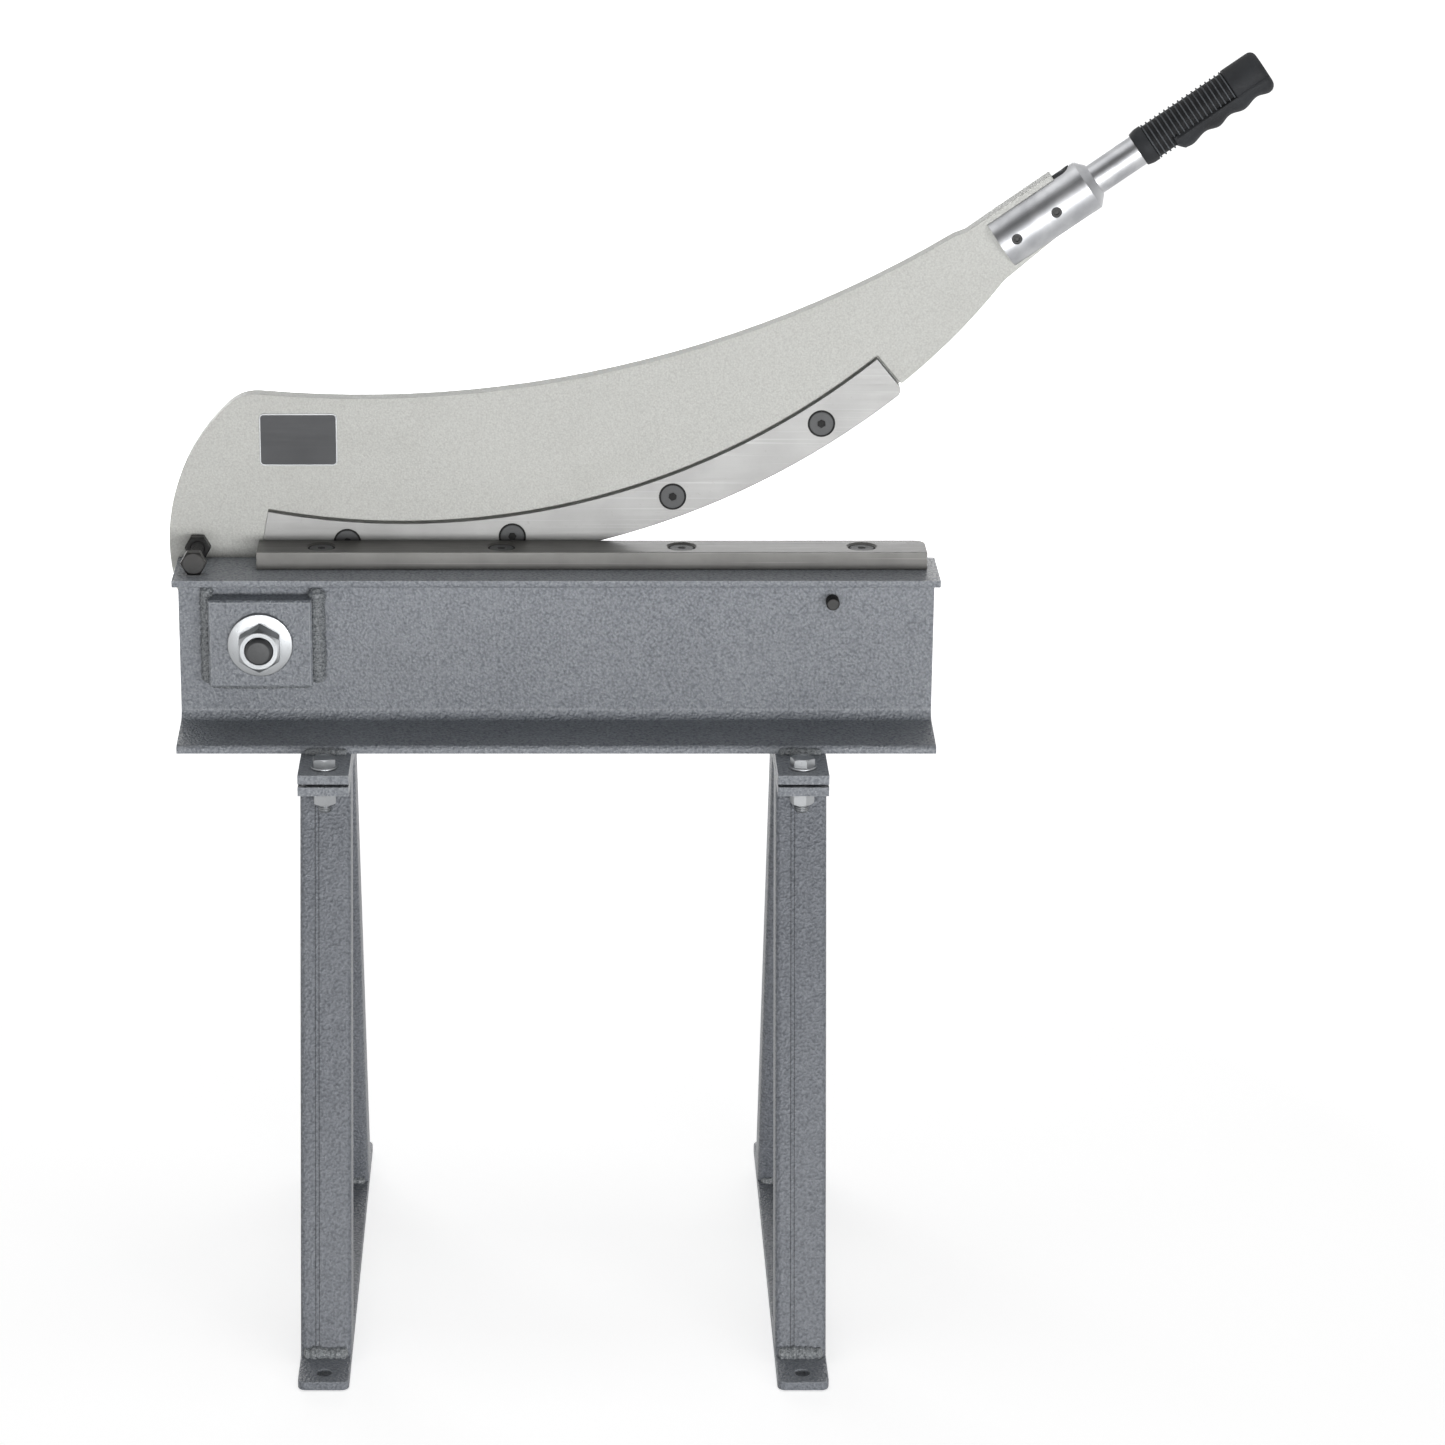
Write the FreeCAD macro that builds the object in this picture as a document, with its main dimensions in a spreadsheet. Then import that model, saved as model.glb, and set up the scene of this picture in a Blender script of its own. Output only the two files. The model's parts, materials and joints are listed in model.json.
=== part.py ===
import FreeCAD, Part
import Sketcher
import math
import os
import re
from FreeCAD import Placement, Rotation, Vector

# A hand lever shear: a channel beam on two A-frame legs carries a straight lower
# blade, and a curved arm with a curved upper blade swings on one bolt behind it.
# The origin is on the floor in the middle of the four foot holes. X runs along the
# beam, the operator stands on the -Y side, and the shear plane is the beam's back.

SIZES = {
    # beam
    "beam_length": 569,  # channel beam from end to end
    "beam_height": 135,  # over both flanges
    "beam_depth": 62,  # flange width, back of web to toe
    "beam_shift": -5.3,  # middle of the beam from the middle of the stand
    "beam_bottom": 433.5,  # underside of the beam above the floor
    "web_thickness": 8,
    "toe_thickness": 5.7,  # flange at its toe
    "root_thickness": 11,  # flange where its slope meets the web
    "root_radius": 8,  # fillet between web and flange
    "toe_radius": 3.5,  # rounding of the inner edge of the toe
    # lower blade
    "lower_length": 500,
    "lower_width": 33,  # from the shear plane to its front
    "lower_thickness": 13.4,
    "lower_from_end": 60.9,  # beam end to the blade
    "lower_corner": 7.5,  # rounded back corner at the free end
    "lower_screw_margin": 48,  # blade end to the first screw
    "lower_screw_pitch": 134.7,
    # sunk screws of both blades, each of one piece with its blade
    "screw_head": 20.5,  # head across
    "screw_sink": 1.4,  # head below the face of the blade
    "screw_key": 6,  # hexagon socket across flats
    "screw_key_depth": 3.4,
    "screw_nut_across": 17,
    "screw_nut_height": 8,
    "thread_fit": 0.05,  # room round a thread
    # pivot
    "pivot_from_end": 62,  # beam end to the pivot bolt
    "pivot_drop": 61,  # beam top to the pivot bolt
    "pivot_diameter": 20,
    "pivot_fit": 0.05,  # running fit of the arm
    "pivot_room": 0.25,  # room round the bolt in beam and block
    "pivot_across": 30,  # nut and head across flats
    "pivot_head_height": 12.5,
    "pivot_nut_height": 15,
    "pivot_tail": 5,  # bolt standing out of the nut
    "pivot_tail_chamfer": 2,
    "washer_across": 49,
    "washer_thickness": 3,
    "block_width": 78,  # pivot block along the beam
    "block_tall": 68,
    "block_thickness": 16,
    "block_bevel": 1.5,
    "block_weld": 9.5,  # leg of the weld beside the block
    "block_weld_above": 8,  # weld past the top of the block
    "block_weld_below": 1,
    # arm plate, its places measured from the pivot
    "arm_thickness": 14,
    "arm_gap": 1,  # beam to arm, filled by a ring round the pivot
    "crest_low_across": 77.3,  # lowest point of the long top curve
    "crest_low_up": 183.4,
    "crest_radius": 842.3,
    "crest_end": 515.5,  # where the top curve ends at the handle
    "crown_radius": 31,  # round between heel and top curve
    "crown_across": -0.69,  # its centre
    "heel_radius": 143.8,  # curve of the left end, from the crown to the boss
    "boss_radius": 38.85,  # round the pivot
    "neck_radius": 30,  # inside round between boss and underside
    "belly_radius": 465,  # underside past the blade
    "belly_start": 39.5,  # before the end of the top curve
    "belly_inset": 5.5,  # underside of the plate above the cutting edge
    # upper blade
    "blade_gap": 0.3,  # upper blade off the shear plane
    "edge_low_across": 108,  # lowest point of the cutting edge, from the pivot
    "edge_low_up": 55,
    "edge_radius": 585,  # cutting edge
    "upper_width": 32,
    "upper_thickness": 8,
    "upper_span_angle": 50.2,
    "upper_lean_angle": 14.5,  # middle of the blade from straight below the centre
    "upper_screw_angle": 12.52,  # between screws
    "upper_corner": 6,  # rounded corner of the cutting edge
    "groove_width": 2.3,  # open groove above the blade
    # stops
    "rest_bolt_across": 46.6,  # arm stop bolt, left of the pivot
    "rest_bolt_up": 70,
    "rest_bolt_reach": 49,  # arm face to the end of the head
    "stop_diameter": 10,
    "stop_across": 17,
    "stop_head_height": 6.8,
    "stop_nut_height": 8,
    "low_stop_across": 430.4,  # lower stop bolt, right of the pivot
    "low_stop_up": 29.3,
    "low_stop_tail": 10,  # in front of the web
    "low_stop_head": 16,
    # handle, measured along its own axis from the middle of the socket
    "handle_angle": 35.1,
    "socket_across": 68.2,  # middle of the socket from the end of the top curve
    "socket_up": 17.24,
    "socket_length": 82.8,
    "socket_diameter": 40,
    "shoulder_length": 6.6,  # bevel at the rod end
    "shoulder_end": 25.4,  # across at the end of the bevel
    "slot_end": 31,  # end of the slot
    "slot_fit": 0.1,  # room beside the tongue
    "tongue_root": -54,  # start of the tongue's underside
    "tongue_shoulder": -57,  # start of its top
    "tongue_end": 16.8,
    "tongue_above": 22.8,
    "tongue_below": 18.2,  # at the middle of the socket
    "tongue_taper_angle": 5.6,  # slope of its underside against the axis
    "set_screw_first": -28.9,
    "set_screw_second": 5.6,
    "set_screw_key": 4,  # hexagon socket across flats
    "set_screw_key_depth": 4,
    "rod_diameter": 24,
    "rod_inside": 10,  # rod held in the end of the socket
    "rod_fit": 0.02,  # room round the rod
    "grip_start": 79.2,
    "grip_length": 107.6,
    "grip_diameter": 28.7,
    "grip_collar": 26.4,  # across at its start
    "grip_taper": 4.8,  # length over which it widens
    "grip_round": 3.5,  # rounded far end
    "grip_end_wall": 6,
    "palm_start": 103.5,  # finger side of the grip
    "palm_parting": 4.6,  # parting line below the axis
    "finger_first": 127,  # middle of the first hollow
    "finger_pitch": 22,
    "finger_depth": 2.8,
    # stand
    "leg_spacing": 355,
    "tube_size": 38,  # square tube, and the plates on it
    "tube_wall": 2.5,
    "tube_corner": 3,
    "leg_top_reach": 50,  # front of a leg at its top, from the middle
    "leg_foot_reach": 177,  # the same at the floor bar
    "plate_thickness": 7,
    "plate_depth": 162,  # front to back
    "plate_gap": 2.2,  # between bracket plate and leg top plate
    "spacer_inset": 3,  # pad in that gap, behind the plates' edges
    "bar_thickness": 7,  # floor bar
    "bar_length": 438,  # front to back
    "bar_corner": 6,
    "foot_hole": 11,
    "foot_hole_margin": 15.6,  # end of the floor bar to its hole
    "seam_weld": 5,  # leg of the welds at beam and foot
    # leg bolts
    "leg_bolt_diameter": 10,
    "leg_bolt_spacing": 125,
    "leg_bolt_across": 16,
    "leg_bolt_head": 6.4,
    "leg_bolt_nut": 9.7,
    "leg_bolt_tail": 6.9,  # thread below the nut
    "leg_washer_across": 20.5,
    "leg_washer_thickness": 1.9,
    "plate_hole": 11,
}

STRAIGHT_DOWN = -90.0  # degrees
SCREWS = 4  # on each blade
FINGERS = 3  # hollows of the grip

doc = FreeCAD.newDocument("LeverShear")
sheet = doc.addObject("Spreadsheet::Sheet", "Sizes")
for row, (alias, value) in enumerate(SIZES.items(), 1):
    sheet.set("A%d" % row, alias.replace("_", " "))
    sheet.set("B%d" % row, str(value))
    sheet.setAlias("B%d" % row, alias)
doc.recompute()


def size(alias):
    return float(getattr(sheet, alias))


def tie(formula):
    # every alias holds an underscore, so it can be told from a function or a number
    return re.sub(r"[a-z]+(?:_[a-z]+)+", r"Sizes.\g<0>", formula)


def bind(item, **formulas):
    for name, formula in formulas.items():
        item.setExpression(name, tie(formula))
    return item


def put(item, x="0", y="0", z="0"):
    for axis, formula in zip("xyz", (x, y, z)):
        item.setExpression("Placement.Base." + axis, tie(formula))
    return item


# Places that several pieces share, as formulas of the sheet

beamLeft = "(beam_shift - beam_length / 2)"
beamTop = "(beam_bottom + beam_height)"
shearPlane = "(beam_depth / 2)"
lowerLeft = "(%s + lower_from_end)" % beamLeft
screwLine = "(%s - lower_width / 2)" % shearPlane
pivotX = "(%s + pivot_from_end)" % beamLeft
pivotZ = "(%s - pivot_drop)" % beamTop
webFace = "(%s - web_thickness)" % shearPlane
blockFace = "(%s - block_thickness)" % webFace
armFace = "(%s + arm_gap)" % shearPlane
armBack = "(%s + arm_thickness)" % armFace
topPlateTop = "(beam_bottom - plate_thickness - plate_gap)"
strutTop = "(%s - plate_thickness)" % topPlateTop
strutRise = "(%s - bar_thickness)" % strutTop
strutSlope = "((leg_foot_reach - leg_top_reach) / %s)" % strutRise
strutStretch = "sqrt(1 + %s ^ 2)" % strutSlope
pivotHole = "(pivot_diameter + 2 * pivot_room)"
crestSide = "sqrt(crest_radius ^ 2 - (crest_end - crest_low_across) ^ 2)"
crestRise = "(crest_low_up + crest_radius - %s)" % crestSide

ALONG_X = Rotation(Vector(0, 1, 0), 90)
ALONG_Y = Rotation(Vector(1, 0, 0), -90)
AGAINST_Y = Rotation(Vector(1, 0, 0), 90)
UPRIGHT = Rotation()

nodes = []


def node(item, label):
    item.Label = label
    nodes.append(item)
    return item


def plane(body, role):
    return next(part for part in body.Origin.OriginFeatures if part.Role == role)


def sketchOn(body, role, label):
    sketch = body.newObject("Sketcher::SketchObject", label)
    sketch.AttachmentSupport = [(plane(body, role), "")]
    sketch.MapMode = "FlatFace"
    return sketch


def distance(sketch, geometry, point, across, up):
    # ties one point of a sketch to two formulas, measured from the origin
    for kind, formula in (("DistanceX", across), ("DistanceY", up)):
        index = sketch.addConstraint(Sketcher.Constraint(kind, -1, 1, geometry, point, 1.0))
        sketch.setExpression("Constraints[%d]" % index, tie(formula))


def outline(sketch, points):
    # closed outline of straight lines whose corners are formulas
    count = len(points)
    turn = 2 * math.pi / count
    rough = [Vector(math.cos(turn * i), math.sin(turn * i), 0) for i in range(count)]
    for i in range(count):
        sketch.addGeometry(Part.LineSegment(rough[i], rough[(i + 1) % count]), False)
    for i in range(count):
        sketch.addConstraint(Sketcher.Constraint("Coincident", i, 2, (i + 1) % count, 1))
    for i, (across, up) in enumerate(points):
        distance(sketch, i, 1, across, up)


def rectangle(sketch, left, right, low, high):
    outline(sketch, [(left, low), (right, low), (right, high), (left, high)])


def circles(sketch, places):
    for across, up, diameter in places:
        index = sketch.addGeometry(Part.Circle(Vector(1, 1, 0), Vector(0, 0, 1), 2.0), False)
        distance(sketch, index, 3, across, up)
        row = sketch.addConstraint(Sketcher.Constraint("Diameter", index, 4.0))
        sketch.setExpression("Constraints[%d]" % row, tie(diameter))


def pad(body, sketch, length, backwards=False, bothWays=False):
    feature = body.newObject("PartDesign::Pad", sketch.Name + "Pad")
    feature.Profile = sketch
    feature.Reversed = backwards
    if bothWays:
        feature.SideType = "Symmetric"
    bind(feature, Length=length)
    return feature


def pocket(body, sketch, depth=None, backwards=False, bothWays=False):
    # with no depth the cut runs through everything on both sides
    doc.recompute()
    before = body.Shape.Volume
    feature = body.newObject("PartDesign::Pocket", sketch.Name + "Pocket")
    feature.Profile = sketch
    feature.Reversed = backwards
    if depth is None or bothWays:
        feature.SideType = "Symmetric"
    if depth is None:
        feature.Type = "ThroughAll"
    else:
        bind(feature, Length=depth)
    doc.recompute()
    if body.Shape.Volume > before - 1:
        raise RuntimeError(sketch.Name + " cuts nothing")
    return feature


def dress(body, kind, test, radius):
    # PartDesign::Fillet or Chamfer on the edges that a test picks
    doc.recompute()
    tip = body.Tip
    picked = ["Edge%d" % i for i, edge in enumerate(tip.Shape.Edges, 1) if test(edge)]
    feature = body.newObject("PartDesign::" + kind, body.Name + kind)
    feature.Base = (tip, picked)
    bind(feature, **{"Radius" if kind == "Fillet" else "Size": radius})
    return feature


def runsAlong(edge, direction):
    if edge.Curve.TypeId != "Part::GeomLine":
        return False
    return abs(edge.Curve.Direction.dot(direction)) > 0.999


def box(length, width, height, x, y, z):
    item = doc.addObject("Part::Box", "Block")
    bind(item, Length=length, Width=width, Height=height)
    return put(item, x, y, z)


def rod(diameter, height, turn, x, y, z):
    item = doc.addObject("Part::Cylinder", "Round")
    bind(item, Radius="(%s) / 2" % diameter, Height=height)
    item.Placement = Placement(Vector(), turn)
    return put(item, x, y, z)


def hexagon(across, height, turn, x, y, z):
    item = doc.addObject("Part::Prism", "Hexagon")
    item.Polygon = 6
    bind(item, Circumradius="(%s) / sqrt(3)" % across, Height=height)
    item.Placement = Placement(Vector(), turn)
    return put(item, x, y, z)


def cone(start, end, height, turn, x, y, z):
    item = doc.addObject("Part::Cone", "Taper")
    bind(item, Radius1="(%s) / 2" % start, Radius2="(%s) / 2" % end, Height=height)
    item.Placement = Placement(Vector(), turn)
    return put(item, x, y, z)


def fuse(*items):
    result = doc.addObject("Part::MultiFuse", "Joined")
    result.Shapes = list(items)
    return result


def cut(base, *tools):
    result = doc.addObject("Part::Cut", "Cut")
    result.Base = base
    result.Tool = tools[0] if len(tools) == 1 else fuse(*tools)
    return result


def group(items):
    result = doc.addObject("Part::Compound", "Group")
    result.Links = list(items)
    return result


def turnedTo(item, turn, x, y, z):
    item.Placement = Placement(Vector(), turn)
    return put(item, x, y, z)


def ring(outer, hole, height, turn, x, y, z):
    plate = cut(rod(outer, height, UPRIGHT, "0", "0", "0"),
                rod(hole, "3 * (%s)" % height, UPRIGHT, "0", "0", "-(%s)" % height))
    return turnedTo(plate, turn, x, y, z)


def nut(across, height, thread, turn, x, y, z):
    block = cut(hexagon(across, height, UPRIGHT, "0", "0", "0"),
                rod("%s + 2 * thread_fit" % thread, "3 * (%s)" % height, UPRIGHT, "0", "0", "-(%s)" % height))
    return turnedTo(block, turn, x, y, z)


def bead(name, out, lean, x, y, z):
    # fillet weld across a tube: it lies on a level face, reaches out to -Y or +Y, and
    # its back follows a wall that leans by so much for each mm up
    body = doc.addObject("PartDesign::Body", name)
    section = sketchOn(body, "YZ_Plane", name + "Section")
    outline(section, [("0", "0"), ("%d * seam_weld" % out, "0"), ("%s * seam_weld" % lean, "seam_weld")])
    pad(body, section, "tube_size - 2 * tube_corner", bothWays=True)
    return put(body, x, y, z)


# Beam

def beamChannel():
    body = doc.addObject("PartDesign::Body", "BeamChannel")
    profile = sketchOn(body, "YZ_Plane", "ChannelProfile")
    outline(profile, [
        ("0", "0"),
        ("0", "-beam_height"),
        ("-beam_depth", "-beam_height"),
        ("-beam_depth", "toe_thickness - beam_height"),
        ("-web_thickness", "root_thickness - beam_height"),
        ("-web_thickness", "-root_thickness"),
        ("-beam_depth", "-toe_thickness"),
        ("-beam_depth", "0"),
    ])
    pad(body, profile, "beam_length")

    def atRoot(edge):
        alongBeam = runsAlong(edge, Vector(1, 0, 0))
        return alongBeam and abs(edge.CenterOfMass.y + size("web_thickness")) < 0.01

    def atToe(edge):
        middle = edge.CenterOfMass
        inner = size("toe_thickness") - 0.01 < -middle.z < size("beam_height") - size("toe_thickness") + 0.01
        return runsAlong(edge, Vector(1, 0, 0)) and middle.y < 0.01 - size("beam_depth") and inner

    dress(body, "Fillet", atRoot, "root_radius")
    dress(body, "Fillet", atToe, "toe_radius")
    spacer = sketchOn(body, "XZ_Plane", "SpacerRing")
    circles(spacer, [("pivot_from_end", "-pivot_drop", "washer_across")])
    pad(body, spacer, "arm_gap - pivot_fit", backwards=True)
    webHoles = sketchOn(body, "XZ_Plane", "WebHoles")
    circles(webHoles, [
        ("pivot_from_end", "-pivot_drop", pivotHole),
        ("pivot_from_end + low_stop_across", "low_stop_up - pivot_drop", "stop_diameter + 2 * thread_fit"),
    ])
    pocket(body, webHoles)
    put(body, beamLeft, shearPlane, beamTop)
    node(body, "beam_channel")


# Lower blade

def lowerBlade():
    body = doc.addObject("PartDesign::Body", "LowerBlade")
    plan = sketchOn(body, "XY_Plane", "LowerPlan")
    rectangle(plan, "0", "lower_length", "-lower_width", "0")
    pad(body, plan, "lower_thickness")

    def backCorner(edge):
        middle = edge.CenterOfMass
        farEnd = middle.y > -0.01 and middle.x > size("lower_length") - 0.01
        return runsAlong(edge, Vector(0, 0, 1)) and farEnd

    dress(body, "Fillet", backCorner, "lower_corner")
    put(body, lowerLeft, shearPlane, beamTop)
    sinks = []
    for i in range(SCREWS):
        x = "%s + lower_screw_margin + %d * lower_screw_pitch" % (lowerLeft, i)
        head = "(%s + lower_thickness - screw_sink)" % beamTop
        sinks.append(cone("screw_head", "screw_head + 2 * screw_sink", "screw_sink", UPRIGHT,
                          x, screwLine, head))
        sinks.append(hexagon("screw_key", "screw_key_depth + screw_sink / 2", UPRIGHT, x, screwLine,
                             head + " - screw_key_depth"))
    node(cut(body, *sinks), "lower_blade")


# Pivot

def pivotBlock():
    body = doc.addObject("PartDesign::Body", "PivotBlock")
    front = sketchOn(body, "XZ_Plane", "BlockFront")
    rectangle(front, "-block_width / 2", "block_width / 2", "-block_tall / 2", "block_tall / 2")
    pad(body, front, "block_thickness")
    dress(body, "Chamfer", lambda edge: edge.CenterOfMass.y < 0.01 - size("block_thickness"), "block_bevel")
    bore = sketchOn(body, "XZ_Plane", "BlockBore")
    circles(bore, [("0", "0", pivotHole)])
    pocket(body, bore)
    put(body, pivotX, webFace, pivotZ)
    node(body, "pivot_block")


def blockWelds():
    # quarter rounds between the sides of the block and the web
    beads = []
    for side, turn in ((-1, 180), (1, 270)):
        weld = doc.addObject("Part::Cylinder", "Weld")
        bind(weld, Radius="block_weld", Height="block_tall + block_weld_above + block_weld_below")
        weld.Angle = 90
        x = "%s + %d * block_width / 2" % (pivotX, side)
        z = "%s - block_tall / 2 - block_weld_below" % pivotZ
        beads.append(turnedTo(weld, Rotation(Vector(0, 0, 1), turn), x, webFace, z))
    node(group(beads), "pivot_block_welds")


def pivotFastening():
    tail = "(%s - washer_thickness - pivot_nut_height - pivot_tail)" % blockFace
    headSeat = "(%s + pivot_fit)" % armBack
    shank = rod("pivot_diameter", "%s - %s - pivot_tail_chamfer" % (headSeat, tail), ALONG_Y,
                pivotX, tail + " + pivot_tail_chamfer", pivotZ)
    tip = cone("pivot_diameter - 2 * pivot_tail_chamfer", "pivot_diameter", "pivot_tail_chamfer", ALONG_Y,
               pivotX, tail, pivotZ)
    head = hexagon("pivot_across", "pivot_head_height", ALONG_Y, pivotX, headSeat, pivotZ)
    node(fuse(shank, tip, head), "pivot_bolt")
    node(ring("washer_across", pivotHole, "washer_thickness", AGAINST_Y, pivotX, blockFace, pivotZ),
         "pivot_washer")
    pointUp = AGAINST_Y * Rotation(Vector(0, 0, 1), 30)
    node(nut("pivot_across", "pivot_nut_height", "pivot_diameter", pointUp,
             pivotX, blockFace + " - washer_thickness", pivotZ), "pivot_nut")


def lowStop():
    x = "%s + low_stop_across" % pivotX
    z = "%s + low_stop_up" % pivotZ
    shank = rod("stop_diameter", "web_thickness + low_stop_tail", ALONG_Y, x, webFace + " - low_stop_tail", z)
    head = hexagon("low_stop_head", "stop_head_height", ALONG_Y, x, shearPlane, z)
    node(fuse(shank, head), "lower_stop_bolt")


# Arm: outlines are drawn in (across, up) from the pivot

def onCircle(centre, radius, degrees):
    angle = math.radians(degrees)
    return centre + Vector(radius * math.cos(angle), radius * math.sin(angle), 0)


def direction(start, end):
    return math.degrees(math.atan2(end.y - start.y, end.x - start.x))


def below(centre, radius, x):
    # the point of a circle's lower half at a given x
    return Vector(x, centre.y - math.sqrt(radius ** 2 - (x - centre.x) ** 2), 0)


def touching(centreA, reachA, centreB, reachB, toTheRight):
    # the point at given distances from two centres, to one side of the line between them
    span = centreB.sub(centreA)
    along = (reachA ** 2 - reachB ** 2 + span.Length ** 2) / (2 * span.Length)
    aside = math.sqrt(reachA ** 2 - along ** 2)
    unit = Vector(span).normalize()
    right = Vector(unit.y, -unit.x, 0)
    return centreA + unit * along + right * (aside if toTheRight else -aside)


def towards(origin, target, reach):
    return origin + (target - origin).normalize() * reach


def arc(centre, radius, start, end):
    # the short way round a circle from one point to another
    first = direction(centre, start)
    turn = (direction(centre, end) - first + 180) % 360 - 180
    return Part.Arc(start, onCircle(centre, radius, first + turn / 2), end).toShape()


def line(start, end):
    return Part.LineSegment(start, end).toShape()


def upperCentre():
    return Vector(size("edge_low_across"), size("edge_low_up") + size("edge_radius"), 0)


def crestCentre():
    return Vector(size("crest_low_across"), size("crest_low_up") + size("crest_radius"), 0)


def crestTip():
    return below(crestCentre(), size("crest_radius"), size("crest_end"))


def alongHandle(along, above):
    # a point given along the handle from the middle of the socket and square to it
    start = crestTip() + Vector(size("socket_across"), size("socket_up"), 0)
    return onCircle(onCircle(start, along, size("handle_angle")), -above, size("handle_angle") - 90)


def armOutline():
    pivot = Vector(0, 0, 0)
    crest = crestCentre()
    crestRadius = size("crest_radius")
    heelRadius = size("heel_radius")
    bossRadius = size("boss_radius")
    blade = upperCentre()
    under = size("edge_radius") - size("belly_inset")
    crown = size("crown_radius")
    crownCentre = below(crest, crestRadius + crown, size("crown_across"))
    heel = touching(pivot, heelRadius - bossRadius, crownCentre, heelRadius - crown, True)
    neck = size("neck_radius")
    neckCentre = touching(pivot, bossRadius + neck, blade, under + neck, True)
    crestEnd = crestTip()
    crownCrest = towards(crest, crownCentre, crestRadius)
    crownHeel = towards(heel, crownCentre, heelRadius)
    bossHeel = towards(heel, pivot, heelRadius)
    bossLow = onCircle(pivot, bossRadius, STRAIGHT_DOWN)
    bossNeck = towards(pivot, neckCentre, bossRadius)
    neckUnder = towards(blade, neckCentre, under)
    belly = size("belly_radius")
    taper = math.tan(math.radians(size("tongue_taper_angle")))

    def tongueUnderside(along):
        return alongHandle(along, along * taper - size("tongue_below"))

    tongueFoot = tongueUnderside(size("tongue_root"))
    bellyStart = below(blade, under, crestEnd.x - size("belly_start"))
    bellyCentre = touching(bellyStart, belly, tongueFoot, belly, False)
    tongueTip = tongueUnderside(size("tongue_end"))
    tongueTop = alongHandle(size("tongue_end"), size("tongue_above"))
    tongueShoulder = alongHandle(size("tongue_shoulder"), size("tongue_above"))
    return Part.Wire([
        arc(crest, crestRadius, crestEnd, crownCrest),
        arc(crownCentre, crown, crownCrest, crownHeel),
        arc(heel, heelRadius, crownHeel, bossHeel),
        arc(pivot, bossRadius, bossHeel, bossLow),
        arc(pivot, bossRadius, bossLow, bossNeck),
        arc(neckCentre, neck, bossNeck, neckUnder),
        arc(blade, under, neckUnder, bellyStart),
        arc(bellyCentre, belly, bellyStart, tongueFoot),
        line(tongueFoot, tongueTip),
        line(tongueTip, tongueTop),
        line(tongueTop, tongueShoulder),
        line(tongueShoulder, crestEnd),
    ])


def sector(inner, outer, first, last):
    # part of a ring about the blade's centre, angles from straight below it
    centre = upperCentre()
    innerFirst = onCircle(centre, inner, STRAIGHT_DOWN + first)
    innerLast = onCircle(centre, inner, STRAIGHT_DOWN + last)
    outerFirst = onCircle(centre, outer, STRAIGHT_DOWN + first)
    outerLast = onCircle(centre, outer, STRAIGHT_DOWN + last)
    return Part.Wire([
        arc(centre, inner, innerFirst, innerLast),
        line(innerLast, outerLast),
        arc(centre, outer, outerLast, outerFirst),
        line(outerFirst, innerFirst),
    ])


def slab(wire, near, far):
    # a flat piece between two depths behind the shear plane, from an outline in (x, z)
    solid = Part.Face(wire).extrude(Vector(0, 0, far - near))
    solid.translate(Vector(0, 0, near))
    solid.rotate(Vector(), Vector(1, 0, 0), 90)
    return solid.mirror(Vector(), Vector(0, 1, 0))


def bored(diameter, place, near, far):
    return Part.makeCylinder(diameter / 2, far - near, Vector(place.x, near, place.y), Vector(0, 1, 0))


def prism(across, place, near, far):
    # a hexagon bar whose flats lie so far apart
    corners = [onCircle(place, across / math.sqrt(3), turn) for turn in range(0, 360, 60)]
    return slab(Part.makePolygon(corners + corners[:1]), near, far)


def upperScrewPlaces():
    middle = size("edge_radius") - size("upper_width") / 2
    first = STRAIGHT_DOWN + size("upper_lean_angle") - size("upper_screw_angle") * (SCREWS - 1) / 2
    return [onCircle(upperCentre(), middle, first + i * size("upper_screw_angle")) for i in range(SCREWS)]


def formed(shape, label):
    item = doc.addObject("Part::Feature", "Formed")
    item.Shape = shape
    put(item, pivotX, shearPlane, pivotZ)
    return node(item, label)


def armPlate():
    near = size("arm_gap")
    far = near + size("arm_thickness")
    seat = size("blade_gap") + size("upper_thickness")
    edge = size("edge_radius")
    half = size("upper_span_angle") / 2
    lean = size("upper_lean_angle")
    groove = math.degrees(size("groove_width") / edge)
    plate = slab(armOutline(), near, far)
    rebate = sector(edge - size("upper_width") - size("groove_width"), edge + size("upper_width"),
                    lean - half, lean + half + groove)
    plate = plate.cut(slab(rebate, 0, seat))
    plate = plate.cut(bored(size("pivot_diameter") + 2 * size("pivot_fit"), Vector(), 0, 2 * far))
    stop = Vector(-size("rest_bolt_across"), size("rest_bolt_up"), 0)
    plate = plate.cut(bored(size("stop_diameter") + 2 * size("thread_fit"), stop, 0, 2 * far))
    for place in upperScrewPlaces():
        plate = plate.fuse(prism(size("screw_nut_across"), place, far, far + size("screw_nut_height")))
    formed(plate, "arm_plate")


def upperBlade():
    near = size("blade_gap")
    far = near + size("upper_thickness")
    edge = size("edge_radius")
    half = size("upper_span_angle") / 2
    lean = size("upper_lean_angle")
    blade = slab(sector(edge - size("upper_width"), edge, lean - half, lean + half), near, far)
    corner = onCircle(upperCentre(), edge, STRAIGHT_DOWN + lean + half)
    picked = [item for item in blade.Edges
              if math.hypot(item.CenterOfMass.x - corner.x, item.CenterOfMass.z - corner.y) < 0.01]
    blade = blade.makeFillet(size("upper_corner"), picked)
    head = size("screw_head") / 2
    sink = size("screw_sink")
    for place in upperScrewPlaces():
        rim = Vector(place.x, near, place.y)
        blade = blade.cut(Part.makeCone(head + sink, head, sink, rim, Vector(0, 1, 0)))
        blade = blade.cut(prism(size("screw_key"), place, near, near + sink + size("screw_key_depth")))
    formed(blade, "upper_blade")


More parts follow.
